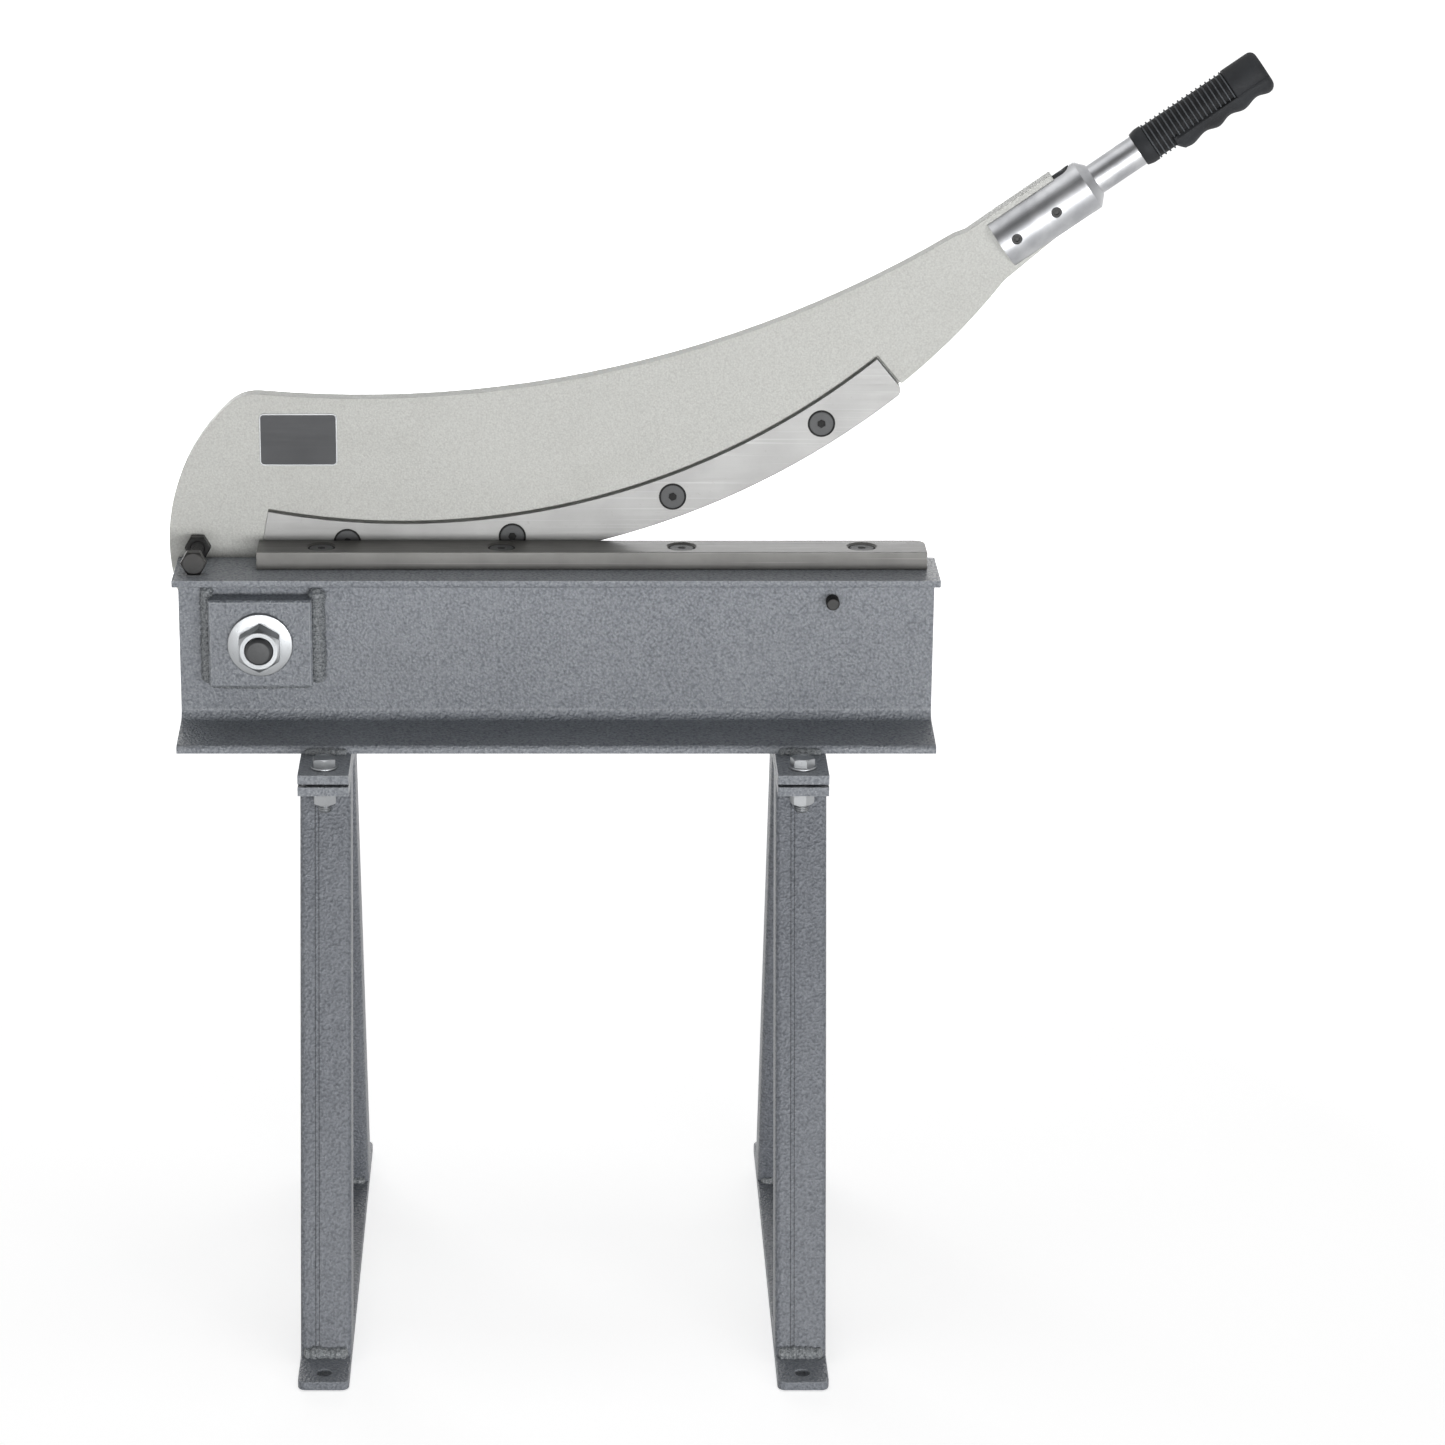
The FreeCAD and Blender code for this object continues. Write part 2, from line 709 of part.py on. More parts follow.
def armStop():
    x = "%s - rest_bolt_across" % pivotX
    z = "%s + rest_bolt_up" % pivotZ
    front = "(%s - rest_bolt_reach)" % armFace
    head = hexagon("stop_across", "stop_head_height", ALONG_Y, x, front, z)
    shank = rod("stop_diameter", "rest_bolt_reach + arm_thickness - stop_head_height", ALONG_Y,
                x, front + " + stop_head_height", z)
    node(fuse(head, shank), "arm_stop_bolt")
    node(nut("stop_across", "stop_nut_height", "stop_diameter", AGAINST_Y, x, armFace, z), "arm_stop_nut")


# Handle: every piece is built along local X and then raised to the handle's angle

def raiseHandle(item):
    item.Placement = Placement(Vector(), Rotation(Vector(0, 1, 0), -size("handle_angle")))
    x = "%s + crest_end + socket_across" % pivotX
    z = "%s + %s + socket_up" % (pivotZ, crestRise)
    return put(item, x, "%s + arm_thickness / 2" % armFace, z)


def turnOnLathe(body, label, points):
    profile = sketchOn(body, "XZ_Plane", label)
    outline(profile, points)
    feature = body.newObject("PartDesign::Revolution", label + "Turned")
    feature.Profile = profile
    feature.ReferenceAxis = (profile, ["H_Axis"])
    feature.Angle = 360
    return feature


def handleSocket():
    body = doc.addObject("PartDesign::Body", "HandleSocket")
    end = "(socket_length / 2)"
    bore = "(rod_diameter / 2 + rod_fit)"
    turnOnLathe(body, "SocketProfile", [
        ("-" + end, "0"), (end + " - rod_inside", "0"), (end + " - rod_inside", bore), (end, bore),
        (end, "shoulder_end / 2"), (end + " - shoulder_length", "socket_diameter / 2"),
        ("-" + end, "socket_diameter / 2"),
    ])
    half = "(arm_thickness / 2 + slot_fit)"
    slot = sketchOn(body, "XY_Plane", "SocketSlot")
    rectangle(slot, "-socket_length", "slot_end - " + half, "-" + half, half)
    pocket(body, slot)
    slotRound = sketchOn(body, "XY_Plane", "SlotRound")
    circles(slotRound, [("slot_end - " + half, "0", "2 * " + half)])
    pocket(body, slotRound)
    keys = [hexagon("set_screw_key", "2 * set_screw_key_depth", AGAINST_Y, place,
                    "set_screw_key_depth - socket_diameter / 2", "0")
            for place in ("set_screw_first", "set_screw_second")]
    node(raiseHandle(cut(body, *keys)), "handle_socket")


def handleRod():
    start = "(socket_length / 2 - rod_inside)"
    length = "grip_start + grip_length - grip_end_wall - " + start
    node(raiseHandle(group([rod("rod_diameter", length, ALONG_X, start, "0", "0")])), "handle_rod")


def palmWave():
    # side view of the finger side: round crests and hollows that meet at half height
    crest = -size("palm_parting") - size("grip_diameter") / 2
    hollow = crest + size("finger_depth")
    level = (crest + hollow) / 2
    quarter = size("finger_pitch") / 4
    start = size("palm_start")
    end = size("grip_start") + size("grip_length")
    first = size("finger_first")

    def through(fromX, fromZ, midX, midZ, toX, toZ):
        return Part.Arc(Vector(fromX, 0, fromZ), Vector(midX, 0, midZ), Vector(toX, 0, toZ)).toShape()

    edges = [through(start, -size("grip_diameter") / 2, first - 2 * quarter, crest, first - quarter, level)]
    for i in range(FINGERS):
        middle = first + i * size("finger_pitch")
        wayDown = middle + 3 * quarter if i < FINGERS - 1 else end
        edges.append(through(middle - quarter, level, middle, hollow, middle + quarter, level))
        edges.append(through(middle + quarter, level, middle + 2 * quarter, crest, wayDown, level))
    parting = -size("palm_parting")
    top = [Vector(end, 0, level), Vector(end, 0, parting), Vector(start, 0, parting),
           Vector(start, 0, -size("grip_diameter") / 2)]
    edges += [line(a, b) for a, b in zip(top, top[1:])]
    wave = Part.Face(Part.Wire(edges)).extrude(Vector(0, 2 * size("grip_diameter"), 0))
    wave.translate(Vector(0, -size("grip_diameter"), 0))
    item = doc.addObject("Part::Feature", "Formed")
    item.Shape = wave
    return item


def handleGrip():
    body = doc.addObject("PartDesign::Body", "GripSleeve")
    end = "(grip_start + grip_length)"
    bore = "(rod_diameter / 2 + rod_fit)"
    seat = "(%s - grip_end_wall + rod_fit)" % end
    turnOnLathe(body, "GripProfile", [
        ("grip_start", bore), (seat, bore), (seat, "0"), (end, "0"), (end, "grip_diameter / 2 - grip_round"),
        (end + " - grip_round", "grip_diameter / 2"), ("grip_start + grip_taper", "grip_diameter / 2"),
        ("grip_start", "grip_collar / 2"),
    ])
    half = rod("grip_diameter", end, ALONG_X, "0", "0", "-palm_parting")
    palm = doc.addObject("Part::MultiCommon", "Palm")
    palm.Shapes = [half, palmWave()]
    core = rod("2 * " + bore, "grip_start + grip_length - grip_end_wall + rod_fit", ALONG_X, "0", "0", "0")
    node(raiseHandle(fuse(body, cut(palm, core))), "handle_grip")


# Stand

def standX(side):
    return "(%d * leg_spacing / 2)" % side


def plates(side, name):
    for label, z in (("bracket_plate_", "beam_bottom - plate_thickness"), ("leg_top_plate_", strutTop)):
        plate = box("tube_size", "plate_depth", "plate_thickness",
                    "%s - tube_size / 2" % standX(side), "-plate_depth / 2", z)
        holes = [rod("plate_hole", "3 * plate_thickness", UPRIGHT, standX(side),
                     "%d * leg_bolt_spacing / 2" % end, "%s - plate_thickness" % z) for end in (-1, 1)]
        node(cut(plate, *holes), label + name)


def strut(side, end, label):
    # square tube that leans outward to the floor and is cut level at both ends
    body = doc.addObject("PartDesign::Body", "Strut")
    level = "(tube_size * %s)" % strutStretch
    skins = []
    for inset in ("0", "(tube_wall * %s)" % strutStretch):
        skin = sketchOn(body, "YZ_Plane", "StrutSide")
        corners = [
            ("leg_foot_reach - %s" % inset, "0"),
            ("leg_foot_reach - %s + %s" % (level, inset), "0"),
            ("leg_top_reach - %s + %s" % (level, inset), strutRise),
            ("leg_top_reach - %s" % inset, strutRise),
        ]
        outline(skin, [("%d * (%s)" % (end, reach), up) for reach, up in corners])
        skins.append(skin)
    pad(body, skins[0], "tube_size", bothWays=True)
    rise = size("beam_bottom") - size("plate_gap") - 2 * size("plate_thickness") - size("bar_thickness")
    slope = Vector(0, end * (size("leg_top_reach") - size("leg_foot_reach")), rise).normalize()
    dress(body, "Fillet", lambda edge: runsAlong(edge, slope), "tube_corner")
    pocket(body, skins[1], "tube_size - 2 * tube_wall", bothWays=True)
    put(body, standX(side), "0", "bar_thickness")
    node(body, label)


def floorBar(side, name):
    body = doc.addObject("PartDesign::Body", "FloorBar")
    plan = sketchOn(body, "XY_Plane", "BarPlan" + name)
    rectangle(plan, "-tube_size / 2", "tube_size / 2", "-bar_length / 2", "bar_length / 2")
    pad(body, plan, "bar_thickness")
    dress(body, "Fillet", lambda edge: runsAlong(edge, Vector(0, 0, 1)), "bar_corner")
    holes = sketchOn(body, "XY_Plane", "BarHoles" + name)
    circles(holes, [("0", "%d * (bar_length / 2 - foot_hole_margin)" % end, "foot_hole") for end in (-1, 1)])
    pocket(body, holes)
    put(body, standX(side))
    node(body, "floor_bar_" + name)


def standWelds():
    # beads beside the foot of every strut, and between the bracket plates and the beam
    feet = []
    brackets = []
    level = "tube_size * " + strutStretch
    for side in (-1, 1):
        for end in (-1, 1):
            lean = "%d * %s" % (-end, strutSlope)
            outer = "%d * leg_foot_reach" % end
            inner = "%d * (leg_foot_reach - %s)" % (end, level)
            feet.append(bead("FootBead", end, lean, standX(side), outer, "bar_thickness"))
            feet.append(bead("FootBead", -end, lean, standX(side), inner, "bar_thickness"))
            edge = "%d * beam_depth / 2" % end
            brackets.append(bead("BracketBead", end, "0", standX(side), edge, "beam_bottom"))
    node(group(feet), "foot_welds")
    node(group(brackets), "bracket_welds")


def legFastening():
    bolts = []
    nuts = []
    pads = []
    length = "(2 * plate_thickness + plate_gap + leg_washer_thickness + leg_bolt_nut + leg_bolt_tail)"
    lowSeat = "(%s - leg_washer_thickness)" % strutTop
    for side in (-1, 1):
        x = standX(side)
        for end in (-1, 1):
            y = "%d * leg_bolt_spacing / 2" % end
            bolts.append(fuse(
                rod("leg_bolt_diameter", length, UPRIGHT, x, y, "beam_bottom - " + length),
                rod("leg_washer_across", "leg_washer_thickness", UPRIGHT, x, y, "beam_bottom"),
                hexagon("leg_bolt_across", "leg_bolt_head", UPRIGHT, x, y,
                        "beam_bottom + leg_washer_thickness")))
            nuts.append(cut(
                fuse(rod("leg_washer_across", "leg_washer_thickness", UPRIGHT, x, y, lowSeat),
                     hexagon("leg_bolt_across", "leg_bolt_nut", UPRIGHT, x, y, lowSeat + " - leg_bolt_nut")),
                rod("leg_bolt_diameter + 2 * thread_fit", "4 * leg_bolt_nut", UPRIGHT, x, y,
                    strutTop + " - 3 * leg_bolt_nut")))
        across = "(tube_size - 2 * spacer_inset)"
        deep = "(leg_bolt_spacing - plate_hole - 2 * spacer_inset)"
        pads.append(box(across, deep, "plate_gap",
                        "%s - %s / 2" % (x, across), "-%s / 2" % deep, topPlateTop))
    node(group(bolts), "leg_bolts")
    node(group(nuts), "leg_bolt_nuts")
    node(group(pads), "plate_spacers")


beamChannel()
lowerBlade()
pivotBlock()
blockWelds()
pivotFastening()
lowStop()
armPlate()
upperBlade()
armStop()
handleSocket()
handleRod()
handleGrip()
for sideSign, sideName in ((-1, "left"), (1, "right")):
    plates(sideSign, sideName)
    strut(sideSign, -1, "front_strut_" + sideName)
    strut(sideSign, 1, "rear_strut_" + sideName)
    floorBar(sideSign, sideName)
standWelds()
legFastening()

doc.recompute()
for item in doc.Objects:
    if "Invalid" in item.State or "Error" in item.State:
        raise RuntimeError("%s (%s) did not recompute" % (item.Name, item.Label))
for item in nodes:
    if item.Shape.isNull() or not item.Shape.isValid():
        raise RuntimeError(item.Label + " has no valid shape")

os.makedirs("parts", exist_ok=True)
for item in nodes:
    item.Shape.exportStep("parts/%s.step" % item.Label)
    print("%-22s %8.1f cm3  solids %d" % (item.Label, item.Shape.Volume / 1000, len(item.Shape.Solids)))
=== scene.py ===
import json
import math

import bmesh
import bpy
from mathutils import Matrix, Vector


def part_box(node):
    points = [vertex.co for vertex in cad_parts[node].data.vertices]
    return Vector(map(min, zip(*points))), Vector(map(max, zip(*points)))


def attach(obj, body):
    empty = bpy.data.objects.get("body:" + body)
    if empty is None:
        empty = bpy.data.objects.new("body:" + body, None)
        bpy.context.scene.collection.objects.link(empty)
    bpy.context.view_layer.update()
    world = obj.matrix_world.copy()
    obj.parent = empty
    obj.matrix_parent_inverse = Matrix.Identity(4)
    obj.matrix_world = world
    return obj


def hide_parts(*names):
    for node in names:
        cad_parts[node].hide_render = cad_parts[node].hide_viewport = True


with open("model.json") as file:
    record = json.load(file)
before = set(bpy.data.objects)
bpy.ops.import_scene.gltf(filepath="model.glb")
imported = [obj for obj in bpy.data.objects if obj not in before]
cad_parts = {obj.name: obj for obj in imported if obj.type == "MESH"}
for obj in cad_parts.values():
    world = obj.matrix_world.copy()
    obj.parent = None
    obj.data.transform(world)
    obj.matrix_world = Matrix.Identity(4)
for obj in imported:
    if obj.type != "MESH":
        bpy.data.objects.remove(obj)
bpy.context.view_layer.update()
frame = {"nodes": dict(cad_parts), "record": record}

mm = 0.001
print("frame loaded:", len(frame["nodes"]), "nodes")

bodyOf = {node: body for body, names in frame["record"]["behaviour"]["bodies"].items() for node in names}
slotOf = {entry["node"]: entry["material_slot"] for entry in frame["record"]["subparts"]}


# small helpers for node trees

def fromHex(code):
    # a screen colour as the linear values that a shader takes
    parts = [int(code[i:i + 2], 16) / 255 for i in (1, 3, 5)]
    return tuple(c / 12.92 if c <= 0.04045 else ((c + 0.055) / 1.055) ** 2.4 for c in parts) + (1.0,)


def feed(tree, socket, value):
    # a socket takes a link, a colour code or a plain value
    if isinstance(value, bpy.types.NodeSocket):
        tree.links.new(value, socket)
    elif isinstance(value, str) and value.startswith("#"):
        socket.default_value = fromHex(value)
    else:
        socket.default_value = value


def addNode(tree, kind, inputs=None, **settings):
    made = tree.nodes.new(kind)
    for key, value in settings.items():
        setattr(made, key, value)
    for key, value in (inputs or {}).items():
        feed(tree, made.inputs[key], value)
    return made


def newGroup(name, kind, inputs, outputs):
    tree = bpy.data.node_groups.new(name, kind)
    for label, socketType, value in inputs:
        socket = tree.interface.new_socket(label, in_out="INPUT", socket_type="NodeSocket" + socketType)
        if value is not None:
            socket.default_value = value
    for label, socketType in outputs:
        tree.interface.new_socket(label, in_out="OUTPUT", socket_type="NodeSocket" + socketType)
    return tree, tree.nodes.new("NodeGroupInput").outputs, tree.nodes.new("NodeGroupOutput").inputs


def useGroup(tree, group, inputs):
    return addNode(tree, "ShaderNodeGroup", inputs, node_tree=group).outputs


def mathNode(tree, operation, a, b=0.0):
    return addNode(tree, "ShaderNodeMath", {0: a, 1: b}, operation=operation).outputs[0]


def times(tree, a, b):
    return mathNode(tree, "MULTIPLY", a, b)


def plus(tree, a, b):
    return mathNode(tree, "ADD", a, b)


def noise(tree, place, scale, detail, roughness=0.5, distortion=0.0):
    return addNode(tree, "ShaderNodeTexNoise", {
        "Vector": place, "Scale": scale, "Detail": detail, "Roughness": roughness,
        "Distortion": distortion}).outputs["Fac"]


def ramp(tree, value, low, high, outLow=0.0, outHigh=1.0):
    return addNode(tree, "ShaderNodeMapRange", {
        "Value": value, "From Min": low, "From Max": high, "To Min": outLow, "To Max": outHigh}).outputs["Result"]


def layered(tree, colour, *layers):
    # each layer is a mask and the colour that it lays over what is there
    for mask, over in layers:
        colour = addNode(tree, "ShaderNodeMix", {0: mask, 6: colour, 7: over}, data_type="RGBA").outputs[2]
    return colour


# effects that several materials share

def makeHammered():
    # orange-peel film: rounded cells with a fine ripple, a mask from their height that paints the peaks lighter and the
    # valleys darker as painted light and shade, and slow changes of tone
    tree, given, result = newGroup(
        "hammeredFilm", "ShaderNodeTree",
        [("Vector", "Vector", None), ("Cells", "Float", 420.0), ("Blotch", "Float", 9.0)],
        [("Height", "Float"), ("PeakLightValleyShade", "Float"), ("Tone", "Float")])
    place = given["Vector"]
    cells = addNode(tree, "ShaderNodeTexVoronoi", {"Vector": place, "Scale": given["Cells"]}, feature="SMOOTH_F1")
    ripple = noise(tree, place, given["Cells"], 2.0, 0.55)
    height = plus(tree, times(tree, cells.outputs["Distance"], -0.8), ripple)
    feed(tree, result["Height"], height)
    # painted light on the peaks and painted shade in the valleys of the relief
    feed(tree, result["PeakLightValleyShade"], ramp(tree, height, -0.15, 0.45))
    feed(tree, result["Tone"], ramp(tree, noise(tree, place, given["Blotch"], 3.0), 0.35, 0.65))
    return tree


def makeGrinding():
    # long fine scratches along X of the given vector, with a few deeper ones
    tree, given, result = newGroup(
        "grindingLines", "ShaderNodeTree",
        [("Vector", "Vector", None), ("Along", "Float", 12.0), ("Across", "Float", 900.0)],
        [("Height", "Float"), ("Scratch", "Float"), ("Cloud", "Float")])
    stretch = addNode(tree, "ShaderNodeCombineXYZ", {"X": given["Along"], "Y": given["Across"], "Z": given["Across"]})
    placed = addNode(tree, "ShaderNodeVectorMath", {0: given["Vector"], 1: stretch.outputs[0]},
                     operation="MULTIPLY").outputs[0]
    feed(tree, result["Height"], noise(tree, placed, 1.0, 4.0, 0.7))
    feed(tree, result["Scratch"], ramp(tree, noise(tree, placed, 0.31, 1.0), 0.62, 0.72))
    feed(tree, result["Cloud"], ramp(tree, noise(tree, given["Vector"], 28.0, 4.0), 0.35, 0.7))
    return tree


def makeGrime():
    # small dark specks and soft smears
    tree, given, result = newGroup(
        "shopGrime", "ShaderNodeTree", [("Vector", "Vector", None), ("Specks", "Float", 160.0)],
        [("Speck", "Float"), ("Smear", "Float")])
    speck = noise(tree, given["Vector"], given["Specks"], 5.0, 0.75)
    smear = noise(tree, given["Vector"], 14.0, 6.0, distortion=0.6)
    feed(tree, result["Speck"], ramp(tree, speck, 0.62, 0.74))
    feed(tree, result["Smear"], ramp(tree, smear, 0.5, 0.75))
    return tree


def makeWornSpot():
    # bare metal where something keeps knocking: a ragged patch round a point
    tree, given, result = newGroup(
        "wornSpot", "ShaderNodeTree",
        [("Vector", "Vector", None), ("Place", "Vector", (0.0, 0.0, 0.0)), ("Reach", "Float", 0.008)],
        [("Mask", "Float")])
    apart = addNode(tree, "ShaderNodeVectorMath", {0: given["Vector"], 1: given["Place"]}, operation="DISTANCE")
    share = mathNode(tree, "DIVIDE", apart.outputs["Value"], given["Reach"])
    ragged = times(tree, noise(tree, given["Vector"], 420.0, 4.0), 1.1)
    feed(tree, result["Mask"], ramp(tree, plus(tree, share, ragged), 1.5, 1.2))
    return tree


hammeredFilm = makeHammered()
grindingLines = makeGrinding()
shopGrime = makeGrime()
wornSpot = makeWornSpot()


# materials

def newMaterial(name, **plain):
    material = bpy.data.materials.new(name)
    material.use_nodes = True
    tree = material.node_tree
    shader = tree.nodes["Principled BSDF"]
    for key, value in plain.items():
        shader.inputs[key].default_value = value
    return material, tree, shader, tree.nodes.new("ShaderNodeTexCoord").outputs["Object"]


def dress(tree, shader, colour, roughness, height, strength, depth):
    # what varies over a surface: its colour, its roughness and its fine relief
    bump = addNode(tree, "ShaderNodeBump", {"Height": height, "Strength": strength, "Distance": depth})
    for key, value in (("Base Color", colour), ("Roughness", roughness), ("Normal", bump.outputs["Normal"])):
        feed(tree, shader.inputs[key], value)


def edgeMask(tree):
    # the rounded edges of a piece carry this attribute, and on the grip the rib tops and the groove faces; materials
    # paint a highlight there, or painted shade in the grip's grooves
    return addNode(tree, "ShaderNodeAttribute", attribute_name="edge").outputs["Fac"]


hammeredPaint = dict(low="#6c7077", high="#979ba1", edge="#a9adb2", dust="#3b3f44", worn="#b9bcbe", cells=520.0,
                     strength=0.9, depth=0.0015, roughness=0.44, coat=0.25, coatRoughness=0.25, edgeHighlightShare=0.45,
                     wornPlace=(-0.2744, -0.0135, 0.5685), wornReach=0.0085)
# the legs and floor bars take a darker copy of the stand paint: painted shade
shadedLegPaint = dict(hammeredPaint, low="#595d64", high="#80848b", edge="#92969b", coat=0.12, coatRoughness=0.3)
# dark lines beside the leg seam: painted shade of the grooves there
seamGrooveShade = dict(shadedLegPaint, low="#34373b", high="#46494e", edge="#46494e")
# the welds take the strongest painted light on their lumps and painted shade between them
weldPaint = dict(hammeredPaint, low="#54585b", high="#9ea2a5", cells=700.0, roughness=0.34, coat=0.4)
armPaint = dict(hammeredPaint, low="#bcbcb8", high="#cfd0cb", edge="#d6d6d1", dust="#9d9c95", worn="#d6d6d1",
                cells=800.0, strength=0.28, depth=0.0004, roughness=0.5, coat=0.08, coatRoughness=0.35,
                edgeHighlightShare=0.6, wornPlace=(0.0, 0.0, -1.0))


def makeHammeredPaint(name, low, high, edge, dust, worn, cells, strength, depth, roughness, coat, coatRoughness,
                      edgeHighlightShare, wornPlace, wornReach):
    material, tree, shader, place = newMaterial(name, **{"Coat Weight": coat, "Coat Roughness": coatRoughness})
    film = useGroup(tree, hammeredFilm, {"Vector": place, "Cells": cells})
    grime = useGroup(tree, shopGrime, {"Vector": place})
    spot = useGroup(tree, wornSpot, {"Vector": place, "Place": wornPlace, "Reach": wornReach})
    # painted light and shade: the height mask lightens the peaks and darkens the valleys, and the rounded edges take
    # the lighter edge colour as a painted highlight; the tone blotches, dust and worn spot are the paint's own
    colour = layered(tree, low, (film["PeakLightValleyShade"], high), (times(tree, film["Tone"], 0.14), edge),
                     (times(tree, grime["Smear"], 0.1), dust), (times(tree, edgeMask(tree), edgeHighlightShare), edge),
                     (spot["Mask"], worn))
    rough = ramp(tree, film["PeakLightValleyShade"], 0.0, 1.0, roughness + 0.08, roughness - 0.06)
    dress(tree, shader, colour, rough, film["Height"], strength, depth)
    return material


upperSteel = dict(base="#989897", dull="#888887", scratchAndEdgeHighlight="#b4b5b5", stain="#6f6b64", metallic=0.45, roughness=0.44,
                  along=16.0, across=2600.0, cloud=0.7, scratchShare=0.25, shine=0.5)
lowerSteel = dict(base="#5a5956", dull="#494845", scratchAndEdgeHighlight="#83827f", stain="#33312d", metallic=0.25, roughness=0.36,
                  along=14.0, across=1500.0, cloud=1.0, scratchShare=0.3, shine=0.85)


def makeBladeSteel(name, base, dull, scratchAndEdgeHighlight, stain, metallic, roughness, along, across, cloud, scratchShare, shine):
    material, tree, shader, place = newMaterial(name, **{"Metallic": metallic, "Specular IOR Level": shine})
    lines = useGroup(tree, grindingLines, {"Vector": place, "Along": along, "Across": across})
    grime = useGroup(tree, shopGrime, {"Vector": place, "Specks": 240.0})
    # the rounded edges take the light scratch colour at half strength: a painted highlight
    colour = layered(tree, base, (times(tree, lines["Cloud"], cloud), dull),
                     (times(tree, lines["Scratch"], scratchShare), scratchAndEdgeHighlight),
                     (times(tree, grime["Speck"], 0.35), stain), (times(tree, edgeMask(tree), 0.5), scratchAndEdgeHighlight))
    rough = ramp(tree, lines["Height"], 0.3, 0.7, roughness - 0.08, roughness + 0.1)
    dress(tree, shader, colour, rough, lines["Height"], 0.18, 0.0002)
    return material


blackOxide = dict(base="#242424", dark="#3a3836", roughness=0.42, metallic=0.4, bump=0.14)
brightZinc = dict(base="#9c9ea0", dark="#787b7e", roughness=0.33, metallic=1.0, bump=0.08)
screwFace = dict(base="#4c4d4e", dark="#393a3b", roughness=0.5, metallic=0.3, bump=0.25)
screwGap = dict(base="#0b0b0b", dark="#151413", roughness=0.75, metallic=0.0, bump=0.1)


def makeFastenerSteel(name, base, dark, roughness, metallic, bump):
    material, tree, shader, place = newMaterial(name, Metallic=metallic)
    grime = useGroup(tree, shopGrime, {"Vector": place, "Specks": 500.0})
    fine = noise(tree, place, 900.0, 3.0)
    cloud = plus(tree, times(tree, grime["Speck"], 0.5), times(tree, grime["Smear"], 0.5))
    rough = ramp(tree, fine, 0.3, 0.7, roughness - 0.06, roughness + 0.1)
    dress(tree, shader, layered(tree, base, (cloud, dark)), rough, fine, bump, 0.0002)
    return material


turnedSteel = dict(base="#b4b5b7", dull="#9fa0a3", roughness=0.36, rings=2600.0)


def makeTurnedSteel(name, base, dull, roughness, rings, axis):
    # fine lathe rings round the handle's axis
    material, tree, shader, place = newMaterial(name, Metallic=1.0)
    along = addNode(tree, "ShaderNodeVectorMath", {0: place, 1: axis}, operation="DOT_PRODUCT").outputs["Value"]
    ringPlace = addNode(tree, "ShaderNodeCombineXYZ", {"X": times(tree, along, rings)}).outputs[0]
    lathe = noise(tree, ringPlace, 1.0, 2.0)
    colour = layered(tree, base, (ramp(tree, noise(tree, place, 60.0, 3.0), 0.35, 0.65), dull))
    dress(tree, shader, colour, ramp(tree, lathe, 0.3, 0.7, roughness - 0.05, roughness + 0.08), lathe, 0.1, 0.0001)
    return material


# the rib tops take a lighter colour: painted highlight
gripRubber = dict(low="#2a2b2d", high="#333538", ridgeHighlightGrooveShade="#5d6064", roughness=0.62, sheen=0.22)
# the grip body's grooves between the ribs take near black: painted shade
gripBody = dict(gripRubber, ridgeHighlightGrooveShade="#0b0c0d")


def makeGripRubber(name, low, high, ridgeHighlightGrooveShade, roughness, sheen):
    material, tree, shader, place = newMaterial(name, **{"Specular IOR Level": sheen})
    grain = noise(tree, place, 1400.0, 4.0, 0.65)
    colour = layered(tree, low, (ramp(tree, noise(tree, place, 45.0, 4.0), 0.3, 0.7), high),
                     (times(tree, edgeMask(tree), 0.8), ridgeHighlightGrooveShade))
    dress(tree, shader, colour, ramp(tree, grain, 0.3, 0.7, roughness - 0.08, roughness + 0.12), grain, 0.25, 0.0003)
    return material


plateBare = dict(base="#3a3b3d", dull="#333436", roughness=0.45, metallic=0.4)
plateBorder = dict(base="#9b9d9e", dull="#8f9192", roughness=0.35, metallic=0.6)


def makePlateFinish(name, base, dull, roughness, metallic):
    # thin anodised sheet with a fine brushed grain
    material, tree, shader, place = newMaterial(name, Metallic=metallic)
    lines = useGroup(tree, grindingLines, {"Vector": place, "Along": 30.0, "Across": 1800.0})
    rough = ramp(tree, lines["Height"], 0.3, 0.7, roughness - 0.06, roughness + 0.08)
    dress(tree, shader, layered(tree, base, (lines["Cloud"], dull)), rough, lines["Height"], 0.1, 0.0001)
    return material


# the handle's own frame: Z along its axis, from the middle of the socket

toFront = Vector((0, -1, 0))
upward = Vector((0, 0, 1))
handleStart = Vector((355.9, 39.0, 831.1)) * mm
handleAxis = (sum(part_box("handle_rod"), Vector()) / 2 - handleStart).normalized()


def facing(place, direction):
    # local Z turned to a direction, by the shortest way
    return Matrix.Translation(place) @ upward.rotation_difference(direction).to_matrix().to_4x4()


handleFrame = facing(handleStart, handleAxis)

